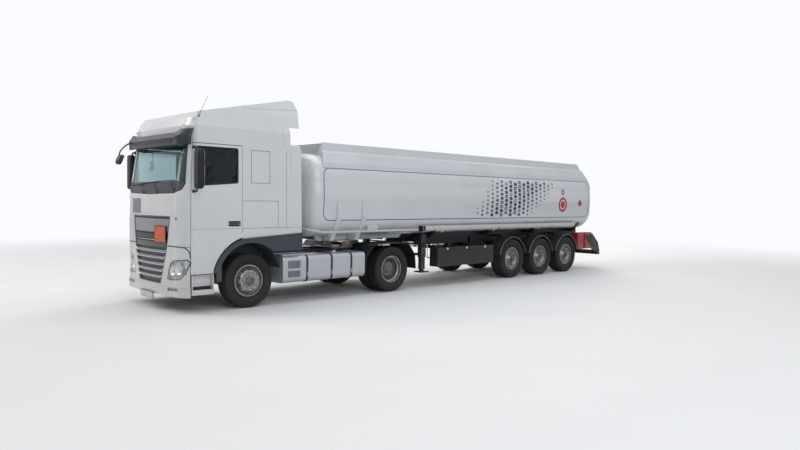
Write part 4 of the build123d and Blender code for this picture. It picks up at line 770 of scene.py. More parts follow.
class TANKER_OT_tank(bpy.types.Operator):
    """Skins the tank: one smooth vessel with dished ends and weld beads, and the collars of its three
    covers"""
    bl_idname = "tanker.tank"
    bl_label = "Tank"

    def execute(self, context):
        loop = tank_loop(16)
        dish = smooth_curve(DISH, 5)
        dish = np.concatenate([dish, [(1.0, 0.15), (1.0, 0.0)]])
        rows = [(SEAM_FRONT - DISH_FRONT * t, k) for t, k in dish[::-1]]
        for y in map(at, SEAMS):
            rows += [(y + step, 1.0 + rise) for step, rise in BEAD if rows[-1][0] < y + step]
        rows += [(SEAM_REAR + DISH_REAR * t, k) for t, k in dish if SEAM_REAR + DISH_REAR * t > rows[-1][0]]
        places, shares = np.array(rows).T
        shares = np.minimum(shares, 1.0)
        rise = np.array([k for _, k in rows]) - shares
        points = spots(np.outer(shares + rise, loop[:, 0]), places[:, None],
                       TANK_MIDDLE + np.outer(shares + rise, loop[:, 1]))
        points[..., 0] = np.clip(points[..., 0], CAD_BOX[0][0], CAD_BOX[1][0])
        add_piece("tank_skin", patch(points, wrap_cols=True), "trailer", "tank_white",
                  smooth=24, replaces="tank")
        collar = [(2.93, COLLAR_R + 0.035), (2.978, COLLAR_R + 0.035), (2.984, COLLAR_R + 0.006),
                  (2.992, COLLAR_R), (3.06, COLLAR_R), (3.062, COLLAR_R + 0.012), (3.076, COLLAR_R + 0.012),
                  (COLLAR_TOP, COLLAR_R + 0.006), (COLLAR_TOP, COLLAR_R - 0.03), (2.95, COLLAR_R - 0.03)]
        for n, y in enumerate(COVERS, 1):
            points, corners = turned_shape(collar, (0, 0, 0), 72)
            ring = swapped(points, (1, 2, 0)) + (0, y, 0)
            add_piece(f"collar_{n}", (ring, corners), "trailer", "coaming_white", smooth=30,
                      replaces="tank")
            self.hinge(n, y)
            self.clamps(n, y)
        return {"FINISHED"}

    def hinge(self, n, y):
        """The cover's two hinge ears, each a rounded plate round the pin, and the pin between them."""
        z = COLLAR_TOP + 0.022
        back = y + COLLAR_R + 0.03
        turn = np.linspace(-0.2, math.pi, 12)
        edge = np.concatenate([np.stack([back + 0.014 * np.cos(turn), z + 0.014 * np.sin(turn)], -1),
            [(back - 0.014, COLLAR_TOP), (y + COLLAR_R - 0.02, COLLAR_TOP - 0.004),
            (y + COLLAR_R - 0.02, COLLAR_TOP - 0.06), (back + 0.006, COLLAR_TOP - 0.06)]])
        ears = []
        for x in (-0.055, 0.055):
            points, corners = plate_shape(edge, 0.014, 0.002)
            ears.append((swapped(points, (1, 0, 2)) + (x + 0.007, 0, 0), corners))
        pin = turned_shape([(-0.066, 0), (-0.066, 0.010), (-0.062, 0.011), (-0.062, 0.0068), (0.062, 0.0068),
                            (0.062, 0.011), (0.066, 0.010), (0.066, 0)], (0, back, z), 16)
        add_piece(f"cover_hinge_{n}", join([*ears, pin]), "trailer", "bright_steel", smooth=30,
                  replaces="tank")

    def clamps(self, n, y):
        """Four swing bolts round the collar's front: a bent stem with a six-sided nut each."""
        parts = []
        for angle in np.radians((-60, -20, 20, 60)) - math.pi / 2:
            c, s = math.cos(angle), math.sin(angle)
            stem = [(c * r, y + s * r, z) for r, z in ((COLLAR_R + 0.004, 3.03), (COLLAR_R + 0.026, 3.035),
                (COLLAR_R + 0.03, 3.05), (COLLAR_R + 0.03, 3.075))]
            parts.append(tube_shape(stem, 0.006, 8))
            parts.append(tube_shape([(c * (COLLAR_R + 0.03), y + s * (COLLAR_R + 0.03), z)
                for z in (3.055, 3.072)], 0.013, 6))
        add_piece(f"cover_clamps_{n}", join(parts), "trailer", "bright_steel", smooth=30,
                  replaces="tank")


class TANKER_OT_tank_marks(bpy.types.Operator):
    """Lays the tank's thin outline, the graded pattern of rings, and the blank plates on both flanks"""
    bl_idname = "tanker.tank_marks"
    bl_label = "Tank marks"

    def execute(self, context):
        width = context.scene.tanker_sizes.outline_width
        outline = self.outline(width)
        pattern, accents = self.pattern()
        diamond = self.patch_of([(11.23, 2.02), (11.35, 2.14), (11.47, 2.02), (11.35, 1.90)], 0.0022, 8)
        rim = self.patch_of([(11.205, 2.02), (11.35, 2.165), (11.495, 2.02), (11.35, 1.875)], 0.0012, 8)
        roundels = [self.ring_of(10.42, 1.98, 0.0, 0.105, 40), self.ring_of(10.42, 1.98, 0.145, 0.215, 48)]
        cap = self.ring_of(10.42, 2.34, 0.035, 0.085, 32)
        for name, shape, paint in (("outline", outline, "mark_blue"), ("pattern", pattern, "mark_dark"),
                ("accents", join([accents, cap]), "mark_blue"), ("roundels", join(roundels), "placard_red"),
                ("diamond", diamond, "placard_red"), ("diamond_rim", rim, "plate_white")):
            shape = faced(shape, (1, 0, 0))
            for side, flank in (("left", shape), ("right", mirrored(shape))):
                add_piece(f"tank_{name}_{side}", flank, "trailer", paint, closed=False)
        points, corners = plate_shape(rounded_loop(0.15, 0.06, 0.012), 0.004, 0.001)
        label = moved((swapped(points, (1, 0, 2)) * (-1, 1, 1), corners),
            (float(tank_half(1.50)), at(3.08), 1.44))
        add_piece("tank_label", label, "trailer", "plate_white")
        return {"FINISHED"}

    def outline(self, width):
        """A band round a long rounded rectangle on the flank."""
        low, high, front, back = 1.61, 2.68, at(1.68), at(11.82)
        corner = 0.16
        turn = np.linspace(0, math.pi / 2, 9)
        path = []
        for cy, cz, start in ((back, high, 0), (front, high, 1), (front, low, 2), (back, low, 3)):
            inward = -1 if cy == back else 1
            up = -1 if cz == high else 1
            angle = turn + start * math.pi / 2
            path.append(np.stack([cy + inward * corner + corner * np.cos(angle),
                                  cz + up * corner + corner * np.sin(angle)], -1))
        path = np.concatenate(path)
        path = np.concatenate([
            np.linspace(a, b, 40 if abs(a[0] - b[0]) > 1 else 12 if abs(a[1] - b[1]) > 0.5 else 1,
                        endpoint=False)
            for a, b in zip(path, np.roll(path, -1, 0))])
        way = np.roll(path, -1, 0) - np.roll(path, 1, 0)
        way /= np.linalg.norm(way, axis=1, keepdims=True)
        out = np.stack([way[:, 1], -way[:, 0]], -1)
        rings = [tank_side(*(path + out * share * width / 2).T, lift=0.0012) for share in (-1, 0, 1)]
        return patch(np.stack(rings, 1), wrap_rows=True)

    def ring_of(self, y, z, inner, outer, steps):
        """A flat ring on the flank between two radii, or a disc where the inner one is nothing."""
        turn = np.linspace(0, 2 * math.pi, steps, endpoint=False)
        reach = np.array((outer, (outer + inner) / 2, inner))[:, None]
        return patch(tank_side(at(y) + reach * np.cos(turn), z + reach * np.sin(turn), 0.0015), wrap_cols=True)

    def patch_of(self, corners, lift, steps):
        """A four-cornered mark on the flank: a grid blended between its corners, given as places and
        heights."""
        a, b, c, d = (np.array((at(y), z)) for y, z in corners)
        u, v = np.meshgrid(np.linspace(0, 1, steps), np.linspace(0, 1, steps), indexing="ij")
        flat = ((1 - u) * (1 - v))[..., None] * a + (u * (1 - v))[..., None] * b + (u * v)[..., None] * c \
            + ((1 - u) * v)[..., None] * d
        return patch(tank_side(flat[..., 0], flat[..., 1], lift))

    def pattern(self):
        """Ovals and rings in staggered columns, on a slanted field: each is an ellipse on the flank, whose
        size falls with its distance from the field's middle line, which leans towards the rear as it
        rises."""
        turn = np.linspace(0, 2 * math.pi, 16, endpoint=False)
        dark, blue = [], []
        for column in range(19):
            y = at(6.35) + 0.195 * column
            for row in range(9):
                z = 1.70 + 0.108 * (row + 0.5 * (column % 2))
                heart = at(7.65) + 1.1 * (z - 1.7)
                keep = 1 - abs(y - heart) / (1.35 + 0.35 * (z - 1.7))
                if keep < 0.08 or z > 2.60:
                    continue
                radius = 0.014 + 0.034 * min(1.0, 1.5 * keep)
                hole = 0.4 if (column + 2 * row) % 3 == 0 else 0.0
                shares = np.array((1.0, hole))[:, None]
                rings = tank_side(y + 1.45 * shares * radius * np.cos(turn),
                    z + shares * radius * np.sin(turn), 0.0013)
                (blue if (2 * column + row) % 7 == 0 else dark).append(patch(rings, wrap_cols=True))
        return join(dark), join(blue)


# Cab front: each level of its skin. Columns: height, front Y, half width, Y of the corner
FRONT_LEVELS = ((0.3, -1.39, 1.245, -1.12), (2.08, -1.39, 1.245, -1.12), (3.0, -1.24, 1.235, -1.075),
                (3.3, -1.235, 1.215, -1.07), (3.45, -1.17, 1.15, -1.03))
FRONT_BOW = 7.391            # radius of the front in plan
BOW_HALF = 0.9               # half width of its bowed middle, beyond which the corners turn back
SLANT = math.sqrt(0.5)


def cab_front(x, z):
    """Y of the cab's front skin, from the front axle: a wide arc up to BOW_HALF from the middle, and beyond
    it the circle through that arc's end, a point on the slant and the corner."""
    x, z = np.broadcast_arrays(np.abs(np.asarray(x, float)), np.asarray(z, float))
    level = np.array(FRONT_LEVELS).T
    front, half, corner = (np.interp(z, level[0], column) for column in level[1:])
    middle_y = front + FRONT_BOW - np.sqrt(FRONT_BOW ** 2 - np.minimum(x, BOW_HALF) ** 2)
    step, reach = front + 0.055, half - BOW_HALF
    ax, ay, cx, cy = BOW_HALF, step, half, corner
    bx, by = BOW_HALF + reach * SLANT, corner - (corner - step) * SLANT
    m, n = bx ** 2 + by ** 2 - ax ** 2 - ay ** 2, cx ** 2 + cy ** 2 - ax ** 2 - ay ** 2
    spread = 4 * ((bx - ax) * (cy - ay) - (cx - ax) * (by - ay))
    heart_x = 2 * (m * (cy - ay) - n * (by - ay)) / spread
    heart_y = 2 * (n * (bx - ax) - m * (cx - ax)) / spread
    radius = np.hypot(ax - heart_x, ay - heart_y)
    corner_y = heart_y - np.sqrt(np.maximum(radius ** 2 - (np.minimum(x, half) - heart_x) ** 2, 0))
    return np.where(x <= BOW_HALF, middle_y, corner_y)


def on_front(x, z, lift=0.0):
    """Points on the cab's front skin, raised off it by lift along its outward way."""
    step = 0.004
    along = (cab_front(x + step, z) - cab_front(x - step, z)) / (2 * step)
    up = (cab_front(x, z + step) - cab_front(x, z - step)) / (2 * step)
    out = np.stack([along, -np.ones_like(along), up], -1)
    out /= np.linalg.norm(out, axis=-1, keepdims=True)
    x, z = np.broadcast_arrays(np.asarray(x, float), np.asarray(z, float))
    return spots(x, at(cab_front(x, z)), z) + out * lift


def band_patch(edge, width, lift, closed=True, inward=0.0):
    """A raised band along a line drawn on the cab's front: across its width its height off the skin is a
    bow."""
    edge = np.asarray(edge, float)
    way = (np.roll(edge, -1, 0) - np.roll(edge, 1, 0)) if closed else np.gradient(edge, axis=0)
    way /= np.linalg.norm(way, axis=1, keepdims=True)
    side = np.stack([way[:, 1], -way[:, 0]], -1)
    shares = np.linspace(-1, 1, 7)
    rows = [on_front(*(edge + side * (inward + share * width / 2)).T, lift * math.sqrt(1 - share ** 2) - 0.001)
            for share in shares]
    return patch(np.stack(rows, 1), wrap_rows=closed)


def closed_line(points, step=0.03):
    """A closed line through the points, with extra points so that none is further than step from the next."""
    points = np.asarray(points, float)
    runs = []
    for a, b in zip(points, np.roll(points, -1, 0)):
        count = max(1, int(np.linalg.norm(b - a) / step))
        runs.append(a + (b - a) * np.linspace(0, 1, count, endpoint=False)[:, None])
    return np.concatenate(runs)


def open_line(points, step=0.03):
    """An open line through the points, with extra points in between."""
    line = closed_line(points, step)
    points = np.asarray(points, float)
    back = max(1, int(np.linalg.norm(points[0] - points[-1]) / step))
    return np.concatenate([line[:-back], points[-1:]])


def both_sides(half):
    """A half outline and its mirror image as one closed line: the half runs from X = 0 round to X = 0."""
    half = np.asarray(half, float)
    return np.concatenate([half, half[::-1] * (-1, 1)])


def sheet_on_front(low, high, xs, lift, rows=6):
    """A sheet on the cab's front between two heights, each a function of X."""
    xs = np.asarray(xs, float)
    shares = np.linspace(0, 1, rows)[:, None]
    z = low(xs)[None] * (1 - shares) + high(xs)[None] * shares
    return sheet(on_front(xs, z, lift), (0, -1, 0))


SCREEN_HALF = [(0, 2.105), (0.9, 2.125), (1.085, 2.18), (1.13, 2.275), (1.085, 2.955), (0, 2.955)]
BAND_TOP = ((0, 2.315), (0.6, 2.318), (1.0, 2.325), (1.13, 2.335))
# Wipers: foot, knee and the blade's two ends, as (x, height) on the glass
WIPERS = (((-0.25, 2.124), (-0.42, 2.267), (-0.98, 2.262), (-0.20, 2.290)),
          ((0.33, 2.120), (0.14, 2.292), (-0.42, 2.300), (0.36, 2.318)),
          ((0.88, 2.165), (0.755, 2.319), (0.22, 2.326), (0.94, 2.334)))


class TANKER_OT_screen(bpy.types.Operator):
    """Adds the windscreen's seal, its dark lower band, and the three wipers on their arms"""
    bl_idname = "tanker.screen"
    bl_label = "Windscreen trim"

    def execute(self, context):
        line = closed_line(both_sides(SCREEN_HALF))
        add_piece("screen_seal", band_patch(line, 0.030, 0.008), "tractor", "black_plastic",
                  closed=False, smooth=60)
        xs = np.linspace(-1.10, 1.10, 61)
        low = lambda x: np.interp(np.abs(x), (0, 0.9, 1.085, 1.13), (2.112, 2.132, 2.19, 2.28))
        high = lambda x: np.interp(np.abs(x), *np.array(BAND_TOP).T)
        add_piece("screen_band", sheet_on_front(low, high, xs, 0.0015, 8), "tractor", "smoked",
                  closed=False)
        self.wipers()
        return {"FINISHED"}

    def wipers(self):
        """Each wiper: a turned foot, an arm along the glass that thins to its tip, and a blade with a
        bridge."""
        parts = []
        for foot, knee, start, end in WIPERS:
            share = np.linspace(0, 1, 14)[:, None]
            arm = np.asarray(foot) + (np.asarray(knee) - np.asarray(foot)) * share
            height = 0.016 + 0.016 * np.sin(math.pi * share[:, 0])
            path = np.stack([on_front(*p, h) for p, h in zip(arm, height)])
            parts.append(tube_shape(path, np.interp(share[:, 0], (0, 0.3, 1), (0.011, 0.008, 0.005)), 10))
            parts.append(tube_shape([on_front(*foot, h) for h in (-0.004, 0.012, 0.02, 0.024)],
                                    (0.019, 0.019, 0.015, 0.006), 16))
            share = np.linspace(0, 1, 24)[:, None]
            blade = np.asarray(start) + (np.asarray(end) - np.asarray(start)) * share
            ends = np.sqrt(np.clip(1 - (2 * share[:, 0] - 1) ** 8, 0.02, 1))
            parts.append(tube_shape(np.stack([on_front(*p, 0.008) for p in blade]), 0.0055 * ends, 6))
            bow = np.sin(math.pi * share[:, 0]) ** 0.6
            parts.append(tube_shape(np.stack([on_front(*p, 0.014 + 0.006 * b) for p, b in zip(blade, bow)]),
                                    0.005 + 0.003 * bow, 8))
        add_piece("wipers", join(parts), "tractor", "black_plastic", smooth=50)


VISOR_LOW = ((0, 2.935), (0.9, 2.945), (1.12, 2.955), (1.235, 2.97))
VISOR_FOLD = ((0, 3.075), (0.85, 3.085), (1.0, 3.11), (1.235, 3.12))
VISOR_TOP = ((0, 3.175), (0.82, 3.178), (0.98, 3.225), (1.235, 3.245))


class TANKER_OT_visor(bpy.types.Operator):
    """Forms the smoked sun visor with its fold and wings, its brackets, and the marker lamps above it"""
    bl_idname = "tanker.visor"
    bl_label = "Sun visor"

    def execute(self, context):
        node_low, node_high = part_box("sun_visor")
        xs = np.linspace(-1.0, 1.0, 61)
        xs = np.sign(xs) * (1 - (1 - np.abs(xs)) ** 1.15) * (node_high.x - 0.012)
        lines = [np.interp(np.abs(xs), *np.array(edge).T) for edge in (VISOR_LOW, VISOR_FOLD, VISOR_TOP)]
        depths = (0.150, 0.165, 0.085)
        rows = []
        for share in np.linspace(0, 2, 15):
            k, rest = min(int(share), 1), share - min(int(share), 1)
            z = lines[k] * (1 - rest) + lines[k + 1] * rest
            out = depths[k] * (1 - rest) + depths[k + 1] * rest
            taper = np.clip((1 - np.abs(xs) / node_high.x) / 0.16, 0, 1) ** 0.7
            y = at(cab_front(xs, z)) - 0.018 - (out - 0.018) * (0.35 + 0.65 * taper)
            rows.append(spots(xs, np.maximum(y, node_low.y + 0.003), z))
        shell = sheet(np.stack(rows), (0, -1, 0))
        visor = add_piece("visor_shell", shell, "tractor", "smoked", closed=False, smooth=24,
                          replaces="sun_visor")
        thickened(visor, 0.006)
        arms = []
        for x in (-1.12, -0.62, 0.0, 0.62, 1.12):
            z = float(np.interp(abs(x), *np.array(VISOR_FOLD).T))
            start, end = on_front(x, z, -0.004), np.array([x, 0, z - 0.004])
            taper = min(1.0, (1 - abs(x) / node_high.x) / 0.16) ** 0.7
            end[1] = max(at(float(cab_front(x, z))) - 0.018 - 0.14 * (0.35 + 0.65 * taper), node_low.y + 0.01)
            arms.append(tube_shape(np.linspace(start, end, 6), 0.009, 10))
        add_piece("visor_arms", join(arms), "tractor", "black_plastic", replaces="sun_visor")
        lamps = []
        for x, z in ((-1.12, 3.292), (-0.926, 3.315), (0.926, 3.315), (1.12, 3.292)):
            loop = rounded_loop(0.052, 0.014, 0.0135, 6)
            rings = [on_front(x + loop[:, 0] * k, z + loop[:, 1] * k, h)
                     for k, h in ((1.0, -0.002), (1.0, 0.010), (0.88, 0.017), (0.5, 0.019), (0.02, 0.0195))]
            lamps.append(hull(rings))
        add_piece("marker_lamps", join(lamps), "tractor", "lamp_white", closed=True)
        return {"FINISHED"}


GRILLE_EDGE = ((0.49, 0.45), (1.10, 0.66), (1.70, 0.77))     # height, half width
PLATE_X = 0.465              # X of the orange plate's middle
SLATS = (1.075, 0.96, 0.845, 0.73, 0.615)                     # heights of the slats' middles
# Lamp outlines on the left half, as (x, height)
HEADLIGHT = ((0.69, 0.592), (0.737, 0.77), (0.797, 0.878), (0.866, 0.922), (0.945, 0.939), (1.193, 0.961),
             (1.222, 0.90), (1.168, 0.703), (1.079, 0.608), (0.86, 0.585))
FOG_LAMP = (0.72, 1.08)      # X of its first and last ribs


def grille_half(z):
    """Half the grille's width at a height."""
    return np.interp(z, *np.array(GRILLE_EDGE).T)


def front_pad(centre, half, low, high, lift, edge=0.006, sink=0.012, cols=33, rows=7):
    """A pad on the cab's front from low to high: its face is a grid raised by lift, and its border sinks into
    the skin. half is its half width, a number or a function of height."""
    v = np.unique(np.concatenate([np.linspace(edge, high - low - edge, rows), [0, high - low]]))
    u = np.unique(np.concatenate([np.linspace(-1, 1, cols), [-0.985, 0.985]]))
    z = np.repeat((low + v)[:, None], len(u), 1)
    width = half(z) if callable(half) else half
    x = centre + u[None] * width
    rise = np.full(z.shape, float(lift))
    rise[[0, -1]] = -sink
    rise[:, [0, -1]] = -sink
    skin = on_front(x, z)
    return sheet(skin + (on_front(x, z, 1.0) - skin) * rise[..., None], (0, -1, 0))


def lamp_rings(outline, rows):
    """Rings of a lamp drawn in from its outline: each row gives the share of the outline and the lift."""
    line = closed_line(outline, 0.02)
    heart = line.mean(0)
    return [on_front(*(heart + (line - heart) * share).T, lift) for share, lift in rows]


def turned_on_front(x, z, profile, steps=28):
    """A profile of (lift, radius) pairs turned round a line square to the cab's front at x, z."""
    angles = np.linspace(0, 2 * math.pi, steps, endpoint=False)
    heart, tip = on_front(x, z, 0.0), on_front(x, z, 1.0)
    out = tip - heart
    side = np.cross(out, (0, 0, 1.0))
    side /= np.linalg.norm(side)
    up = np.cross(side, out)
    rings = [heart + out * lift + r * (np.cos(angles)[:, None] * side + np.sin(angles)[:, None] * up)
             for lift, r in profile]
    return hull(rings)


class TANKER_OT_grille_trim(bpy.types.Operator):
    """Adds the grille's bare panel, border and dark bars, its slats' bands and trims, and the orange plate"""
    bl_idname = "tanker.grille_trim"
    bl_label = "Grille trim"

    def execute(self, context):
        inner = lambda z: grille_half(z) * 0.975
        add_piece("grille_panel", front_pad(0, inner, 1.405, 1.655, -0.004), "tractor", "grille_silver",
            closed=False)
        dark = [front_pad(0, inner, low, high, -0.004, rows=4)
            for low, high in ((1.285, 1.385), (1.135, 1.245))]
        dark.append(front_pad(0, inner, 1.662, 1.694, -0.004, rows=3))
        add_piece("grille_bars", join(dark), "tractor", "gloss_black", closed=False)
        trims = []
        for z in SLATS:
            half = float(grille_half(z)) * 0.965
            path = open_line([(-half - 0.006, z + 0.026), (-half, z - 0.004), (-half + 0.03, z - 0.021),
                              (half - 0.03, z - 0.021), (half, z - 0.004), (half + 0.006, z + 0.026)], 0.02)
            trims.append(tube_shape(np.stack([on_front(*p, 0.0) for p in path]), 0.0055, 8))
        bands = [front_pad(0, lambda h: grille_half(h) * 0.945, z - 0.015, z + 0.021, 0.0015, rows=4)
            for z in SLATS]
        add_piece("grille_bands", join(bands), "tractor", "grille_silver", closed=False)
        line = open_line([(-0.67, 1.265), (0.67, 1.265)], 0.04)
        trims.append(tube_shape(np.stack([on_front(*p, -0.008) for p in line]), 0.005, 8))
        add_piece("grille_trims", join(trims), "tractor", "chrome", smooth=60)
        border = [(x * 0.992, z) for x, z in ((0.77, 1.697), (0.66, 1.10), (0.45, 0.495), (-0.45, 0.495),
            (-0.66, 1.10), (-0.77, 1.697))]
        add_piece("grille_border", band_patch(closed_line(border), 0.022, 0.004), "tractor", "gloss_black",
                  closed=False, smooth=60)
        self.plate()
        return {"FINISHED"}

    def plate(self):
        """The blank orange plate: a black frame with rolled edges, and the orange sheet raised inside it."""
        turn = Matrix.Rotation(math.asin(PLATE_X / FRONT_BOW), 3, "Z")
        place = on_front(PLATE_X, 1.38, 0.016)
        for name, half_w, half_h, depth, back, paint in (
                ("plate_frame", 0.2, 0.15, 0.008, 0.0, "gloss_black"),
                ("plate_orange", 0.186, 0.136, 0.0035, -0.006, "plate_orange")):
            points, corners = plate_shape(rounded_loop(half_w, half_h, 0.012), depth, 0.0015)
            points = (points + (0, back, 0)) @ np.array(turn).T + place
            add_piece(name, (points, corners), "tractor", paint)


class TANKER_OT_lamps(bpy.types.Operator):
    """Fits the headlights with bowls, rims and indicators, ribs the fog lamps, and adds the bumper's small
    parts"""
    bl_idname = "tanker.lamps"
    bl_label = "Front lamps"

    def execute(self, context):
        bowls, bulbs, ribs = [], [], []
        bucket = hull(lamp_rings(HEADLIGHT, ((0.99, -0.013), (0.975, -0.030), (0.955, -0.050), (0.7, -0.051),
            (0.35, -0.051), (0.01, -0.051))))
        for x, z, r in ((0.838, 0.752, 0.086), (1.035, 0.785, 0.094)):
            bowls.append(turned_on_front(x, z, ((-0.048, r + 0.006), (-0.018, r + 0.006), (-0.016, r + 0.002),
                (-0.018, r), (-0.030, r * 0.86), (-0.040, r * 0.6), (-0.045, r * 0.34), (-0.047, r * 0.1))))
            bulbs.append(turned_on_front(x, z, ((-0.047, r * 0.44), (-0.030, r * 0.42), (-0.022, r * 0.3),
                (-0.018, r * 0.14), (-0.017, 0.001)), 20))
        corner = [(1.142, 0.80), (1.15, 0.935), (1.185, 0.94), (1.205, 0.90), (1.18, 0.80)]
        turn = hull(lamp_rings(corner, ((1.0, -0.05), (0.97, -0.026), (0.9, -0.021), (0.5, -0.019),
            (0.01, -0.019))))
        rim = band_patch(closed_line(HEADLIGHT), 0.012, 0.0022)
        for share in np.linspace(0.08, 0.92, 14):
            x = FOG_LAMP[0] + share * (FOG_LAMP[1] - FOG_LAMP[0])
            low, high = 0.392 + 0.014 * share, 0.432 + 0.012 * share
            ribs.append(tube_shape([on_front(x, z, -0.002) for z in np.linspace(low, high, 4)], 0.004, 6))
        add_pairs("tractor", 40, (
            ("lamp_bucket", [faced(bucket, (0, -1, 0))], "lamp_silver", "lamp_glass", False),
            ("lamp_bowls", bowls, "chrome", "lamp_glass", False),
            ("lamp_bulbs", bulbs, "lamp_white", "lamp_glass", True),
            ("lamp_turn", [faced(turn, (0, -1, 0))], "lamp_white", "lamp_glass", False),
            ("lamp_rims", [rim], "black_plastic", "lamp_glass", False),
            ("fog_ribs", ribs, "lamp_silver", "lamp_glass", True)))
        self.small_parts()
        return {"FINISHED"}

    def small_parts(self):
        """The number plate left blank on its bracket, the grey corner plate, the small round sensor cap, the
        corner panels and the bumper's lip."""
        loop = rounded_loop(0.26, 0.055, 0.008)
        frame_loop = rounded_loop(0.268, 0.062, 0.010)
        y = at(float(cab_front(0.03, 0.4))) - 0.030
        for name, edge, depth, back, paint in (("number_frame", frame_loop, 0.010, 0.004, "black_plastic"),
                ("number_plate", loop, 0.003, -0.005, "plate_white")):
            points, corners = plate_shape(edge, depth, 0.001)
            tilt = np.array(Matrix.Rotation(math.radians(8), 3, "X"))
            add_piece(name, ((points + (0, back, 0)) @ tilt.T + (-0.03, y, 0.262), corners), "tractor", paint)
        arms = [tube_shape([(x, y + 0.012, 0.27), (x, y + 0.03, 0.30), (x, y + 0.05, 0.345)], 0.008, 8)
                for x in (-0.19, 0.13)]
        add_piece("number_brackets", join(arms), "tractor", "black_plastic", smooth=60)
        add_piece("corner_plate", front_pad(-0.63, 0.23, 1.735, 2.02, 0.004), "tractor", "plate_grey",
            closed=False)
        cap = turned_on_front(0.98, 1.674, ((-0.002, 0.024), (0.006, 0.024), (0.010, 0.020), (0.011, 0.008),
            (0.011, 0.0005)))
        add_piece("sensor_cap", cap, "tractor", "plate_grey")
        for side, s in SIDES:
            add_piece(f"corner_panel_{side}", front_pad(s * 0.995, 0.175, 1.205, 1.655, 0.005, cols=17),
                "tractor", "cab_white", closed=False)
        lip = open_line([(-1.19, 0.472), (1.19, 0.472)], 0.05)
        add_piece("bumper_lip", band_patch(lip, 0.020, 0.006, closed=False), "tractor", "cab_white",
            closed=False, smooth=60)


def oblong(first, last, low, high):
    """The corners of an upright rectangle, as (y, height)."""
    return (first, low), (last, low), (last, high), (first, high)


def side_pad(points, x, depth, corner):
    """A pad on a side face: a loop through the (y, height) points with rounded corners, raised from x by
    depth."""
    loop = rounded_polygon(points, corner)
    heart = loop.mean(0)
    rings = []
    for share, rise in ((1.0, -0.004), (1.0, depth - 0.002), (0.985, depth), (0.5, depth), (0.01, depth)):
        flat = heart + (loop - heart) * share
        rings.append(spots(x + rise, at(flat[:, 0]), flat[:, 1]))
    return faced(hull(rings), (1, 0, 0))


def rounded_polygon(points, radius, steps=6):
    """A closed line through the points with each corner rounded: the arc is a curve drawn towards the
    corner."""
    points = np.asarray(points, float)
    out = []
    for before, corner, after in zip(np.roll(points, 1, 0), points, np.roll(points, -1, 0)):
        a, b = before - corner, after - corner
        a, b = (v / np.linalg.norm(v) * min(radius, np.linalg.norm(v) / 2) for v in (a, b))
        t = np.linspace(0, 1, steps)[:, None]
        out.append((1 - t) ** 2 * (corner + a) + 2 * t * (1 - t) * corner + t ** 2 * (corner + b))
    return np.concatenate(out)


def ring_tube(points, x, radius, corner, sides=8):
    """A closed tube along a rounded loop of (y, height) points on a side face, at x."""
    loop = rounded_polygon(points, corner)
    keep = np.linalg.norm(loop - np.roll(loop, 1, 0), axis=1) > 1e-5
    loop = closed_line(loop[keep], 0.05)
    lean = np.interp(loop[:, 1], (2.08, 3.0), (0.0, -0.010))
    return tube_shape(spots(x + lean, at(loop[:, 0]), loop[:, 1]), radius, sides, closed=True)


WINDOW = ((-1.092, 2.245), (-0.275, 2.315), (-0.275, 2.937), (-1.092, 2.937))
HANDLE = oblong(-0.466, -0.220, 1.528, 1.622)
# The main mirror's housing: height, half width across and half depth
HOUSING = ((2.191, 0.055, 0.022), (2.196, 0.085, 0.040), (2.215, 0.103, 0.051), (2.26, 0.108, 0.055),
           (2.40, 0.109, 0.056), (2.60, 0.109, 0.056), (2.78, 0.109, 0.056), (2.845, 0.107, 0.054),
           (2.867, 0.100, 0.048), (2.876, 0.084, 0.038), (2.879, 0.055, 0.022))
MIRROR_AT = (1.4345, -1.1425)


class TANKER_OT_doors(bpy.types.Operator):
    """Adds the doors' window seals, dark handle cups with their grips, and the swage and pressed line below"""
    bl_idname = "tanker.doors"
    bl_label = "Door details"

    def execute(self, context):
        for side, s in SIDES:
            flip = (lambda shape: shape) if s == 1 else mirrored
            seal = join([ring_tube(WINDOW, 1.2395, 0.010, 0.045), ring_tube(WINDOW, 1.2165, 0.016, 0.045)])
            add_piece(f"window_seal_{side}", flip(seal), f"door_{side}", "black_plastic",
                      smooth=60)
            add_piece(f"handle_cup_{side}", flip(side_pad(HANDLE, 1.2065, 0.0015, 0.012)), f"door_{side}",
                      "gloss_black", closed=False)
            share = np.linspace(-1, 1, 21)
            grip = spots(1.2345 - 0.006 * np.abs(share) ** 3, at(-0.343 + 0.118 * share), 1.575)
            add_piece(f"handle_grip_{side}", flip(tube_shape(grip, 0.0125 - 0.003 * np.abs(share) ** 4, 12)),
                      f"door_{side}", "black_plastic", smooth=60)
            edge = np.array([(-1.16, 1.235), (-0.85, 1.235), (-0.74, 1.232), (-0.66, 1.216)])
            line = smooth_curve(edge, 8)
            swage = tube_shape(spots(1.2440, at(line[:, 0]), line[:, 1]),
                0.0055 * np.interp(np.arange(len(line)), (0, 2, len(line) - 4, len(line) - 1),
                (0.4, 1, 1, 0.2)), 8)
            add_piece(f"door_swage_{side}", flip(swage), f"door_{side}", "cab_white", smooth=60)
            # The pressed line across the door: a thin dark cord of painted shade.
            path = [(1.2435, y, 1.4885) for y in np.linspace(at(-1.155), at(-0.195), 14)]
            line = tube_shape(path, 0.0026, 6)
            add_piece(f"door_line_{side}", flip(line), f"door_{side}", "seam_shadow", smooth=60)
        return {"FINISHED"}


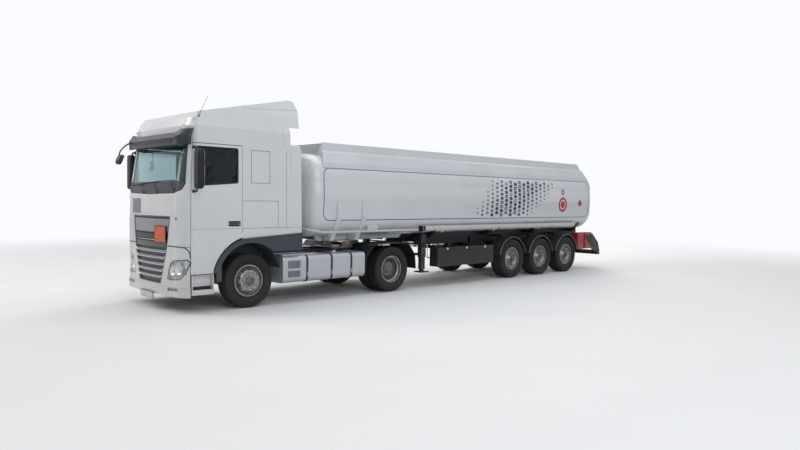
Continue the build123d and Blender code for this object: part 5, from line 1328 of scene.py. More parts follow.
class TANKER_OT_mirrors(bpy.types.Operator):
    """Forms the main mirrors with their housings, glasses and bent arms, the front mirror, and the aerial"""
    bl_idname = "tanker.mirrors"
    bl_label = "Mirrors"

    def execute(self, context):
        for side, s in SIDES:
            flip = (lambda shape: shape) if s == 1 else mirrored
            turn = np.linspace(0, 2 * math.pi, 40, endpoint=False)
            c, n = np.cos(turn), np.sin(turn)
            x = np.sign(c) * np.abs(c) ** 0.55
            y = np.sign(n) * np.abs(n) ** 0.62
            rings = [spots(MIRROR_AT[0] + hx * x, at(MIRROR_AT[1]) + hy * y * np.where(y < 0, 1.0, 0.98), z)
                     for z, hx, hy in HOUSING]
            rings = [np.repeat(rings[0].mean(0)[None], 40, 0), *rings,
                np.repeat(rings[-1].mean(0)[None], 40, 0)]
            add_piece(f"mirror_housing_{side}", flip(hull(rings)), f"door_{side}",
                      "mirror_black", smooth=35, replaces=f"mirror_{side}")
            panes = []
            for low, high in ((2.235, 2.60), (2.63, 2.845)):
                loop = rounded_loop(0.092, (high - low) / 2, 0.02, 5)
                points, corners = plate_shape(loop, 0.004, 0.001)
                panes.append((points * (1, -1, 1) + (MIRROR_AT[0], at(MIRROR_AT[1]) + 0.0545,
                    (low + high) / 2), corners[:, ::-1]))
            add_piece(f"mirror_glass_{side}", flip(join(panes)), f"door_{side}", "mirror_glass",
                      replaces=f"mirror_{side}")
            arms = []
            for z, hub in ((2.150, 2.225), (2.914, 2.85)):
                path = smooth_curve([(1.238, z), (1.27, z), (1.345, z), (1.372, z + (hub - z) * 0.35),
                    (1.378, hub)], 5)
                arms.append(tube_shape(spots(path[:, 0], at(-1.1425), path[:, 1]), 0.0155, 12))
                arms.append(turned_shape([(-0.001, 0.0), (-0.001, 0.030), (0.008, 0.028), (0.014, 0.018)],
                                         (1.2405, at(-1.1425), z), 20))
            add_piece(f"mirror_arms_{side}", flip(join(arms)), f"door_{side}", "black_plastic",
                      smooth=60, replaces=f"mirror_{side}")
        self.front_mirror()
        rod = tube_shape(smooth_curve([(1.128, at(-1.0), 3.46), (1.126, at(-0.97), 3.52),
            (1.124, at(-0.89), 3.69), (1.122, at(-0.81), 3.853)], 6), np.linspace(0.005, 0.0022, 19), 8)
        base = tube_shape([(1.130, at(-1.004), 3.440), (1.129, at(-0.998), 3.462), (1.128, at(-0.992), 3.478),
                           (1.127, at(-0.985), 3.497)], (0.020, 0.018, 0.012, 0.006), 14)
        add_piece("antenna", join([rod, base]), "tractor", "black_plastic", smooth=60)
        return {"FINISHED"}

    def front_mirror(self):
        """A bowl-shaped housing on an arm that bends down from above the screen, with its glass facing
        back."""
        heart = np.array((-0.88, at(-1.577), 2.745))
        tilt = np.array(Matrix.Rotation(math.radians(-22), 3, "X"))
        loop = rounded_loop(0.108, 0.098, 0.05, 8)
        rings = []
        for share, y in ((0.0, 0.018), (0.9, 0.018), (0.985, 0.016), (1.0, 0.008), (0.98, -0.012),
                (0.88, -0.034), (0.66, -0.050), (0.36, -0.058), (0.0, -0.060)):
            rings.append(spots(loop[:, 0] * share, y, loop[:, 1] * share) @ tilt.T + heart)
        add_piece("front_mirror_housing", hull(rings), "tractor", "black_plastic",
                  smooth=35, replaces="front_mirror")
        rings = [spots(loop[:, 0] * share, y, loop[:, 1] * share) @ tilt.T + heart
                 for share, y in ((0.86, 0.017), (0.86, 0.020), (0.84, 0.0215), (0.4, 0.024), (0.01, 0.0245))]
        add_piece("front_mirror_glass", hull(rings), "tractor", "mirror_glass",
                  closed=False, replaces="front_mirror")
        path = smooth_curve([(-0.88, at(-1.215), 3.085), (-0.88, at(-1.34), 3.08), (-0.88, at(-1.47), 3.02),
                             (-0.88, at(-1.575), 2.90), (-0.88, at(-1.598), 2.79)], 6)
        foot = turned_on_front(-0.88, 3.085, ((-0.002, 0.034), (0.008, 0.034), (0.014, 0.026), (0.016, 0.001)))
        add_piece("front_mirror_arm", join([tube_shape(path, 0.0135, 12), foot]), "tractor", "black_plastic",
                  smooth=60, replaces="front_mirror")


class TANKER_OT_arches(bpy.types.Operator):
    """Lines the front wheel arches with a dark sheet beside each tyre, backs their front lips, hangs a dark
    flap of painted shade between each step and tyre, and lays a white sill along the sleeper's lower edge"""
    bl_idname = "tanker.arches"
    bl_label = "Front arches"

    def execute(self, context):
        for side, s in SIDES:
            angle = np.radians(np.linspace(-50, 50, 25))[:, None]
            start = (0.952 - TYRE_R) / np.cos(angle)
            reach = start + (0.722 - start) * np.linspace(0, 1, 7)
            shape = sheet(spots(0.703, FRONT_AXLE + reach * np.sin(angle), TYRE_R + reach * np.cos(angle)),
                (1, 0, 0))
            if s == -1:
                shape = mirrored(shape)
            liner = add_piece(f"arch_liner_{side}", shape, "tractor", "arch_plastic",
                              closed=False, smooth=60)
            thickened(liner, 0.005, 1.0)
        ys = np.linspace(at(-0.184), at(1.118), 24)
        low, share = 1.278 + 0.062 * (ys - ys[0]), np.linspace(0, 1, 4)[:, None]
        rise = low + share * (1.3935 - low)
        sill = sheet(spots(1.2445, ys, rise), (1, 0, 0))
        add_piece("cab_sills", both(sill), "tractor", "cab_white", closed=False)
        angle = np.radians(np.linspace(-62, 8, 30))[:, None]
        reach = np.linspace(0.70, 0.835, 5)[None]
        lip = sheet(spots(1.168, FRONT_AXLE + reach * np.sin(angle), TYRE_R + reach * np.cos(angle)),
            (1, 0, 0))
        # A dark flap ahead of the wheel, behind the step: a sheet of painted shade that closes the gap between
        # step and tyre.
        shade_flap = sheet(spots(1.160, np.linspace(at(-0.67), at(-0.55), 5), np.linspace(0.52, 0.83, 7)[:, None]),
            (1, 0, 0))
        lip = join([lip, shade_flap])
        backs = add_piece("arch_backs", both(lip), "tractor", "arch_plastic", closed=False)
        thickened(backs, 0.004, 1.0)
        return {"FINISHED"}


# Pressed lines on the sleeper's sides. Columns: Y from the front axle and height of one end, then of the other
PRESSED = ((0.0, 2.3245, 0.3975, 2.3245), (0.0, 2.9255, 0.3975, 2.9255), (0.0, 2.3245, 0.0, 2.9255),
           (0.3975, 2.3245, 0.3975, 2.9255), (-0.18, 1.9935, 0.5895, 1.9935), (0.5895, 1.4885, 0.5895, 1.9935),
           (-0.18, 1.4885, 1.19, 1.4885), (0.7735, 1.4885, 0.7735, 2.93))
# Gap over each headlight: distance from the middle and height, from the grille to the door
LAMP_GAP = ((0.70, 1.178), (0.95, 1.178), (1.08, 1.176), (1.15, 1.165), (1.19, 1.13), (1.212, 1.07),
    (1.216, 0.98))


class TANKER_OT_seams(bpy.types.Operator):
    """Paints shade into the cab's creases and open joints as dark cords: the pressed lines on the sleeper, the
    gap over each headlight and under the door"""
    bl_idname = "tanker.seams"
    bl_label = "Cab seams"

    def execute(self, context):
        cords = []
        for y0, z0, y1, z1 in PRESSED:
            share = np.linspace(0, 1, 12)
            z = z0 + (z1 - z0) * share
            cords.append(tube_shape(spots(np.interp(z, (1.99, 2.95), (1.2435, 1.2335)),
                at(y0 + (y1 - y0) * share), z), 0.0028, 6))
        path = [(1.232, y, 0.688) for y in np.linspace(at(-1.162), at(-0.70), 12)]
        cords.append(tube_shape(path, 0.0065, 8))
        for side in (1, -1):
            x, z = smooth_curve([(side * a, b, 0.0) for a, b in LAMP_GAP], 5).T[:2]
            cords.append(tube_shape(on_front(x, z, 0.001), 0.009, 8))
        flank, fronts = join(cords[:-2]), cords[-2:]
        add_piece("cab_seams", join([flank, mirrored(flank), *fronts]), "tractor", "seam_shadow",
                  smooth=60)
        return {"FINISHED"}


ROW_IN, ROW_OUT, ROW_LOW, ROW_TOP = 0.64, 1.24, 0.40, 0.935
ROW_FRONT, ROW_JOINT, ROW_BACK = 0.708, 1.275, 2.79
STRAPS = (1.279, 1.895, 2.417)
LOUVRE_SECTION = ((0.0, 0.016), (0.004, 0.013), (0.006, 0.007), (0.0055, 0.003), (0.0, 0.004))    # out, up
LOUVRES = (0.520, 0.542, 0.564, 0.586, 0.608, 0.696, 0.718, 0.740, 0.762, 0.784, 0.806)


def lozenges(low, high, z, pitch=0.042):
    """Raised lozenges on a flat plate between two corners: they lean left and right by turns."""
    xs = np.arange(low[0] + pitch / 2, high[0], pitch)
    ys = np.arange(low[1] + pitch / 2, high[1], pitch)
    turn = np.linspace(0, 2 * math.pi, 8, endpoint=False)
    shapes = []
    for i, x in enumerate(xs):
        for j, y in enumerate(ys):
            lean = math.pi / 4 if (i + j) % 2 else -math.pi / 4
            a, b = 0.0155 * np.cos(turn), 0.0042 * np.sin(turn)
            flat = np.stack([x + a * math.cos(lean) - b * math.sin(lean),
                y + a * math.sin(lean) + b * math.cos(lean)], -1)
            heart = np.array((x, y))
            rings = [np.concatenate([heart + (flat - heart) * k, np.full((8, 1), z + h)], 1)
                     for k, h in ((1.0, -0.0005), (0.7, 0.0022), (0.02, 0.0028))]
            shapes.append(hull(rings))
    return faced(join(shapes), (0, 0, 1))


def knob(profile, place, axis="Z", steps=24, lobes=0, depth=0.0):
    """A profile of (height, radius) pairs turned round an axis at a place; lobes scallop its edge by
    depth."""
    points, corners = turned_shape(profile, (0, 0, 0), steps)
    if lobes:
        angle = np.arctan2(points[:, 1], points[:, 2])
        points = points * np.stack([np.ones(len(points)), *[1 - depth * (1 + np.cos(lobes * angle)) / 2] * 2],
            -1)
    order = {"X": (0, 1, 2), "Y": (1, 0, 2), "Z": (1, 2, 0)}[axis]
    return swapped(points, order) + np.asarray(place, float), corners


class TANKER_OT_rows(bpy.types.Operator):
    """Details the tank rows: louvres, checkered decks, filler caps, end beads, strap bolts, and the entry
    steps"""
    bl_idname = "tanker.rows"
    bl_label = "Tank rows"

    def execute(self, context):
        blades, plates, beads, bolts, caps = [], [], [], [], []
        for low, high in ((0.508, 0.634), (0.684, 0.832)):
            plates.append(side_pad(oblong(0.822, 1.118, low, high), 1.2402, 0.0016, 0.012))
        ys = np.linspace(at(0.834), at(1.106), 8)
        for z in LOUVRES:
            outs, ups = np.array(LOUVRE_SECTION).T[..., None]
            blades.append(sheet(spots(1.2415 + outs, ys, z + ups), (1, 0, 0)))
        heart = np.array(((ROW_IN + ROW_OUT) / 2, (ROW_LOW + ROW_TOP) / 2))
        loop = rounded_loop((ROW_OUT - ROW_IN) / 2, (ROW_TOP - ROW_LOW) / 2, 0.095, 8) + heart
        for y in (ROW_FRONT + 0.012, ROW_JOINT - 0.012, ROW_JOINT + 0.022, ROW_BACK - 0.014):
            beads.append(tube_shape(spots(loop[:, 0], at(y), loop[:, 1]), 0.0042, 8, closed=True))
        for y in STRAPS:
            bolts.append(tube_shape([(1.252, at(y), z) for z in (0.515, 0.60)], 0.007, 10))
            for z in (0.53, 0.585):
                bolts.append(knob([(-0.009, 0.0), (-0.009, 0.013), (0.004, 0.013), (0.007, 0.009),
                    (0.007, 0.0)], (1.252, at(y), z), "X", 6))
        caps.append(knob([(0.975, 0.0), (0.975, 0.056), (0.985, 0.060), (1.006, 0.060), (1.012, 0.054),
            (1.014, 0.030), (1.010, 0.026), (1.010, 0.0)], (0.96, at(2.15), 0), "Z", 60, 10, 0.07))
        chain = [(0.96 + 0.075 * math.sin(t), at(2.15) + 0.13 * t / 3, 0.957 + 0.03 * math.cos(t)) for t in
                 np.linspace(0.0, 3.0, 14)]
        caps.append(tube_shape(chain, 0.0035, 6))
        deck = lozenges((0.712, at(0.742)), (1.168, at(1.49)), 0.953)
        add_pairs("tractor", 35, (("louvre_plates", plates, "plate_grey", "tank_alloy", False),
                                  ("louvre_blades", blades, "plate_grey", "tank_alloy", False),
                                  ("tank_beads", beads, "bright_steel", "tank_alloy", True),
                                  ("strap_bolts", bolts, "bright_steel", "strap_rubber", True),
                                  ("deck_lozenges", [deck], "checker_plate", "tank_alloy", False),
                                  ("filler_caps", caps, "gloss_black", "tank_alloy", True)))
        self.steps()
        return {"FINISHED"}

    def steps(self):
        """Behind the entry steps stands a pale panel with pressed ribs, over a dark sheet of painted shade in
        the opening below it; each tread gets grip ribs, and the lower edge a pale facing with rounded ends."""
        ys = np.linspace(at(-1.148), at(-0.767), 40)
        zs = np.linspace(0.47, 0.688, 24)[:, None]
        ribs = sum(0.006 * np.exp(-((zs - z) / 0.012) ** 2) for z in (0.54, 0.62))
        panel = sheet(spots(1.135 + ribs, ys, zs), (1, 0, 0))
        # A dark sheet in the opening under the pale panel: painted shade where the step's recess lies in
        # shadow.
        opening_shade = side_pad(oblong(-1.148, -0.767, 0.354, 0.474), 1.137, 0.003, 0.003)
        mats = [sheet(spots(np.linspace(1.142, reach - 0.004, 4)[:, None], (at(-1.146), at(-0.769)), z),
            (0, 0, 1)) for z, reach in ((0.3515, 1.196), (0.6815, 1.203))]
        facing = side_pad(oblong(-1.158, -0.762, 0.353, 0.419), 1.2222, 0.003, 0.01)
        rows = []
        for z, reach in ((0.352, 1.196), (0.682, 1.203)):
            for x in np.arange(1.15, reach - 0.006, 0.014):
                rows.append(tube_shape([(x, y, z) for y in np.linspace(at(-1.145), at(-0.775), 8)], 0.0035, 6))
        add_pairs("tractor", 50, (("step_backs", [panel], "cab_white", "step_grey", False),
            ("step_painted_shade", [opening_shade], "box_black", "step_grey", False),
            ("step_mats", mats, "step_grey", "step_grey", False),
            ("step_facings", [facing], "cab_white", "step_grey", False),
            ("step_grips", rows, "step_grey", "step_grey", True)))


LEGS_Y = at(4.78)
CARRIER = (1.18, 1.39)       # X and height of the hose carrier's middle
OUTLETS = (at(5.5), at(6.4), at(7.3))
GUARD_OUT = 0.577            # radius of the trailer mudguards' outer lip
PIPE_CLIPS = (2.6, 4.4, 5.5, 7.6, 8.9, 11.0)     # Y of the vapour pipe's clips, from the front axle


def disc_profile(radius, depth):
    """A lens of revolution: a rolled rim and a shallow dome."""
    return [(-0.002, 0.0), (-0.002, radius), (depth * 0.6, radius), (depth * 0.8, radius * 0.94),
        (depth, radius * 0.6), (depth * 1.05, 0.001)]


class TANKER_OT_trailer_sides(bpy.types.Operator):
    """Edges the trailer's mudguards, caps the hose carriers, and adds marker lamps, latches, handles and the
    crank"""
    bl_idname = "tanker.trailer_sides"
    bl_label = "Trailer sides"

    def execute(self, context):
        lips, ambers, bases = [], [], []
        turn = np.radians(np.linspace(-77, 77, 40))
        for y in TRAILER_AXLES:
            arc = spots(1.249, y + GUARD_OUT * np.sin(turn), TRAILER_TYRE_R + GUARD_OUT * np.cos(turn))
            lips.append(tube_shape(arc, 0.0085, 8))
        for y in (4.96, 7.42, 9.9):
            ambers.append(knob(disc_profile(0.026, 0.012), (CARRIER[0] + 0.060, at(y), CARRIER[1] - 0.028),
                "X", 20))
            bases.append(knob([(-0.01, 0.0), (-0.01, 0.033), (0.003, 0.033), (0.005, 0.027)],
                              (CARRIER[0] + 0.058, at(y), CARRIER[1] - 0.028), "X", 20))
        cap = knob([(-0.03, 0.0), (-0.03, 0.0672), (0.003, 0.0672), (0.008, 0.060), (0.009, 0.02),
            (0.014, 0.016), (0.014, 0.0)], (CARRIER[0], at(11.12), CARRIER[1]), "Y", 32)
        box = moved(plate_shape(rounded_loop(0.066, 0.068, 0.01), 0.006, 0.002),
            (CARRIER[0], at(4.5605), CARRIER[1]))
        side = side_pad(oblong(4.566, 4.645, 1.325, 1.455), 1.2502, 0.0015, 0.012)
        add_pairs("trailer", 50, (("guard_lips", lips, "plate_grey", "arch_plastic", True),
                                  ("side_lamps", ambers, "lamp_amber", "lamp_glass", True),
                                  ("side_lamp_bases", bases, "black_plastic", "lamp_glass", True),
                                  ("carrier_caps", [cap], "plate_grey", "tube_paint", True),
                                  ("carrier_boxes", [box], "box_black", "tube_paint", True),
                                  ("carrier_box_sides", [side], "box_black", "tube_paint", False)))
        self.chest()
        self.red_boxes()
        self.crank()
        return {"FINISHED"}

    def chest(self):
        """The chest's lid line and its three latches."""
        line = tube_shape([(1.2225, y, 0.896) for y in np.linspace(at(5.12), at(7.21), 30)], 0.004, 6)
        latches = []
        for y in (5.45, 6.165, 6.88):
            latches.append(side_pad(oblong(y - 0.03, y + 0.03, 0.862, 0.912), 1.2222, 0.005, 0.008))
            latches.append(tube_shape([(1.229, at(y), z) for z in (0.868, 0.884, 0.905)],
                (0.005, 0.008, 0.006), 10))
        add_piece("chest_line", line, "trailer", "gloss_black", smooth=60)
        add_piece("chest_latches", join(latches), "trailer", "bright_steel", closed=False)

    def red_boxes(self):
        """Each red box's raised door, its dark handle and its two hinges."""
        doors, handles = [], []
        for low, high in ((11.28, 11.64), (11.70, 12.085)):
            doors.append(side_pad(oblong(low + 0.022, high - 0.022, 0.665, 1.112), 1.2282, 0.006, 0.025))
            handles.append(tube_shape([(x, at(high - 0.06), z)
                for x, z in ((1.2345, 0.84), (1.250, 0.85), (1.250, 0.93), (1.2345, 0.94))], 0.006, 10))
            for z in (0.74, 1.04):
                handles.append(tube_shape([(1.235, at(low + 0.026), z - 0.03),
                    (1.235, at(low + 0.026), z + 0.03)], 0.007, 10))
        add_pairs("trailer", 45, (("red_doors", doors, "red", "red_plastic", False),
                                  ("red_box_handles", handles, "gloss_black", "red_plastic", True)))

    def crank(self):
        """The landing legs' crank folded down on the left, and a ring of bolts on each leg's gear head."""
        path = smooth_curve([(1.110, at(4.80), 1.0), (1.158, at(4.80), 1.0), (1.166, at(4.80), 0.985),
                             (1.166, at(4.80), 0.72), (1.170, at(4.80), 0.705), (1.235, at(4.80), 0.70)], 6)
        grip = tube_shape([(x, at(4.80), 0.70) for x in (1.175, 1.185, 1.225, 1.236)],
            (0.012, 0.016, 0.016, 0.011), 14)
        bolts = []
        for s in (1, -1):
            for angle in np.linspace(0, 2 * math.pi, 6, endpoint=False):
                y, z = LEGS_Y + 0.055 * math.cos(angle), 0.86 + 0.055 * math.sin(angle)
                bolts.append(knob([(-0.002, 0.0), (-0.002, 0.011), (0.007, 0.011), (0.009, 0.007),
                    (0.009, 0.0)], (1.0605 if s == 1 else -1.0675, y, z), "X", 6))
        add_piece("leg_crank", join([tube_shape(path, 0.010, 10), grip, *bolts]), "trailer", "rubbed_steel",
                  smooth=50)


class TANKER_OT_trailer_top(bpy.types.Operator):
    """Lays the checkered walkways and the vapour pipe with its clips and feet along the top of the tank"""
    bl_idname = "tanker.trailer_top"
    bl_label = "Tank top"

    def execute(self, context):
        profile = ((0.36, -0.012), (0.36, 0.012), (0.40, 0.015), (0.50, 0.015), (0.60, 0.015), (0.70, 0.015),
                   (0.74, 0.012), (0.74, -0.012))
        loop = tank_loop(40)
        top = loop[(loop[:, 1] > 0.8) & (np.abs(loop[:, 0]) < 0.76)]
        top = top[np.argsort(top[:, 0])]
        ys = np.linspace(at(2.2), at(11.55), 60)
        xs, lifts = np.array(profile).T
        z = TANK_MIDDLE + np.interp(xs, top[:, 0], top[:, 1]) + lifts
        walk = sheet(spots(xs, ys[:, None], z), (0, 0, 1))
        bars = []
        for y in np.arange(2.3, 11.5, 0.115):
            bars.append(tube_shape([(x, at(y), float(np.interp(x, top[:, 0], top[:, 1])) + TANK_MIDDLE + 0.017)
                                    for x in (0.385, 0.55, 0.715)], 0.0045, 6))
        add_pairs("trailer", 30, [("walkways", [walk], "checker_plate", "tank_paint", False)])
        add_pairs("trailer", 50, [("walkway_ribs", bars, "checker_plate", "tank_paint", True)])
        pipe = smooth_curve([(-0.31, at(2.15), 3.005), (-0.31, at(2.15), 3.05), (-0.31, at(2.2), 3.075),
            (-0.31, at(2.3), 3.075), (-0.31, at(11.3), 3.075), (-0.31, at(11.42), 3.075),
            (-0.31, at(11.5), 3.05), (-0.31, at(11.5), 3.0)], 6)
        clips = [knob([(-0.012, 0.024), (-0.012, 0.031), (0.012, 0.031), (0.012, 0.024)],
            (-0.31, at(y), 3.075), "Y", 20) for y in PIPE_CLIPS]
        feet = [tube_shape([(-0.31, at(y), 2.99), (-0.31, at(y), 3.055)], 0.009, 8) for y in PIPE_CLIPS]
        add_piece("vapour_pipe", join([tube_shape(pipe, 0.025, 14), *clips, *feet]), "trailer", "valve_alloy",
                  smooth=50)
        return {"FINISHED"}


class TANKER_OT_trailer_rear(bpy.types.Operator):
    """Adds the rear lamps and reflectors, the valves' details, and the axles' bellows and brake chambers"""
    bl_idname = "tanker.trailer_rear"
    bl_label = "Trailer rear and underside"

    def execute(self, context):
        rear = at(12.40)
        reds, ambers, whites, reflectors = [], [], [], []
        points, corners = plate_shape(rounded_loop(0.195, 0.068, 0.014), 0.012, 0.003)
        housing = (points * (-1, -1, 1) + (0.975, rear, 0.85), corners)
        for shapes, x in ((reds, 1.105), (ambers, 1.0), (whites, 0.915), (reds, 0.835)):
            shapes.append(knob(disc_profile(0.042, 0.014), (x, rear + 0.012, 0.85), "Y", 28))
        for x in (0.3, 0.62, 1.09):
            reflectors.append(knob(disc_profile(0.035, 0.008), (x, at(12.56), 0.495), "Y", 28))
        add_pairs("trailer", 35, [(name, shapes, paint, "lamp_glass", True) for name, shapes, paint in (
            ("rear_lamps_red", reds, "lamp_red"), ("rear_lamps_amber", ambers, "lamp_amber"),
            ("rear_lamps_white", whites, "lamp_white"), ("rear_lamp_housings", [housing], "black_plastic"),
            ("rear_reflectors", reflectors, "lamp_red"))])
        self.valves()
        self.bellows()
        return {"FINISHED"}

    def valves(self):
        """Each outlet gets a scalloped cap on its coupling, a lever on its body and a ring of flange
        bolts."""
        caps, levers, bolts = [], [], []
        for y in OUTLETS:
            caps.append(knob([(-1.224, 0.0), (-1.224, 0.045), (-1.222, 0.062), (-1.214, 0.072),
                (-1.196, 0.072), (-1.194, 0.066)], (0, y, 0.86), "X", 60, 6, 0.08))
            stem = smooth_curve([(-0.86, y, 0.94), (-0.86, y, 0.975), (-0.875, y - 0.01, 0.985),
                (-1.0, y - 0.09, 0.99)], 5)
            levers.append(tube_shape(stem, np.interp(np.arange(len(stem)), (0, 6, len(stem) - 1),
                (0.010, 0.008, 0.011)), 10))
            for angle in np.linspace(0, 2 * math.pi, 8, endpoint=False):
                bolts.append(knob([(-0.008, 0.0), (-0.008, 0.009), (0.008, 0.009), (0.008, 0.0)],
                    (-1.17, y + 0.080 * math.cos(angle), 0.86 + 0.080 * math.sin(angle)), "X", 6))
        add_piece("valve_caps", join(caps), "trailer", "gloss_black", smooth=40)
        add_piece("valve_levers", join(levers), "trailer", "red", smooth=60)
        add_piece("valve_bolts", join(bolts), "trailer", "bright_steel", smooth=40)

    def bellows(self):
        """Two rubber folds round each trailer air spring, and a brake chamber ahead of each axle end."""
        folds, chambers = [], []
        profile = [(0.565, 0.119), (0.585, 0.131), (0.63, 0.140), (0.675, 0.131), (0.69, 0.122), (0.70, 0.122),
                   (0.715, 0.131), (0.76, 0.140), (0.805, 0.131), (0.826, 0.119)]
        for y in TRAILER_AXLES:
            folds.append(knob(profile, (0.52, y + 0.27, 0), "Z", 36))
            chambers.append(knob([(-0.09, 0.0), (-0.09, 0.060), (-0.075, 0.074), (-0.008, 0.076),
                (-0.008, 0.084), (0.008, 0.084), (0.008, 0.076), (0.06, 0.070), (0.085, 0.035), (0.085, 0.0)],
                (0.735, y - 0.17, 0.60), "Y", 28))
            chambers.append(tube_shape([(0.735, y - 0.10, 0.60), (0.735, y - 0.03, 0.575), (0.735, y, 0.55)],
                0.022, 10))
        add_pairs("trailer", 40, (("air_bellows", folds, "band_rubber", "tyre", True),
                                  ("brake_chambers", chambers, "gloss_black", "plate_steel", True)))


def soft_box(half, power=0.32, rows=25, cols=48):
    """A rounded block as a closed surface: its directions are those of a ball, each raised to a power so that
    the faces flatten, times half its size each way."""
    v = np.linspace(-math.pi / 2, math.pi / 2, rows)[:, None]
    u = np.linspace(0, 2 * math.pi, cols, endpoint=False)[None]
    bend = lambda value: np.sign(value) * np.abs(value) ** power
    x, y, z = bend(np.cos(v)) * bend(np.cos(u)), bend(np.cos(v)) * bend(np.sin(u)), bend(np.sin(v)) + 0 * u
    return patch(np.stack([x, y, z], -1) * np.asarray(half, float), wrap_cols=True)


def puffed(shape, voxel, cap, channels):
    """Swells a closed shape as a filled cushion and returns its mesh. It is remeshed evenly, blown up as
    cloth with no gravity for 20 frames with each point's move capped, and pressed in along its channels:
    across each channel, given as an axis and a place, the surface sinks by 7 mm in a bell curve."""
    scene = bpy.context.scene
    mesh = bpy.data.meshes.new("pad")
    mesh.from_pydata(shape[0].tolist(), [], shape[1].tolist())
    pad = linked("pad", mesh)
    grid = pad.modifiers.new("grid", "REMESH")
    grid.mode, grid.voxel_size = "VOXEL", voxel
    pad.data = bpy.data.meshes.new_from_object(pad.evaluated_get(bpy.context.evaluated_depsgraph_get()))
    pad.modifiers.clear()
    count = len(pad.data.vertices)
    start = np.empty(count * 3)
    pad.data.vertices.foreach_get("co", start)
    start = start.reshape(-1, 3)
    points = start
    swell = pad.modifiers.new("swell", "CLOTH")
    swell.settings.quality = 4
    swell.settings.use_pressure = True
    swell.settings.uniform_pressure_force = 4.0
    swell.settings.effector_weights.gravity = 0.0
    swell.point_cache.frame_start, swell.point_cache.frame_end = 1, 20
    for frame_number in range(1, 21):
        scene.frame_set(frame_number)
    soft = pad.evaluated_get(bpy.context.evaluated_depsgraph_get())
    ends = np.empty(count * 3)
    soft.data.vertices.foreach_get("co", ends)
    move = ends.reshape(-1, 3) - start
    length = np.linalg.norm(move, axis=1, keepdims=True)
    points = start + move * np.minimum(1, cap / np.maximum(length, 1e-9))
    pad.modifiers.clear()
    scene.frame_set(1)
    normals = np.empty(count * 3)
    pad.data.vertices.foreach_get("normal", normals)
    sink = sum((0.007 * np.exp(-((points[:, axis] - place) / 0.011) ** 2) for axis, place in channels),
        np.zeros(count))
    points = points - normals.reshape(-1, 3) * sink[:, None]
    pad.data.vertices.foreach_set("co", points.ravel())
    finished = pad.data
    bpy.data.objects.remove(pad)
    return finished


def pad_piece(name, mesh, turn, place, material, replaces, flip=1):
    """A padded piece from a cushion's mesh: turned about X, carried to its place and smoothed once."""
    data = mesh.copy()
    data.name = name
    turned = Matrix.Rotation(turn, 4, "X") @ Matrix.Scale(flip, 4, (1, 0, 0))
    data.transform(Matrix.Translation(place) @ turned)
    if flip < 0:
        data.flip_normals()
    data.polygons.foreach_set("use_smooth", [True] * len(data.polygons))
    data.materials.clear()
    data.materials.append(material)
    piece = linked(name, data)
    smooth = piece.modifiers.new("smooth", "SUBSURF")
    smooth.levels = smooth.render_levels = 1
    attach(piece, "tractor")
    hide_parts(replaces)
    return piece


# Seat pads: name, half sizes, voxel, cap, channels (axis, place), turn about X, place from the seat's middle
SEAT_PADS = (
    ("cushion", (0.225, 0.235, 0.045), 0.010, 0.024, ((0, -0.13), (0, 0.13), (1, 0.02)), 0.05,
        (0, -0.275, 1.905)),
    ("backrest", (0.215, 0.045, 0.275), 0.010, 0.024, ((0, -0.12), (0, 0.12), (2, -0.02)), -0.19,
        (0, 0.085, 2.245)),
    ("headrest", (0.105, 0.032, 0.078), 0.007, 0.014, (), -0.1, (0, 0.125, 2.635)),
)
SEAT_X = 0.6


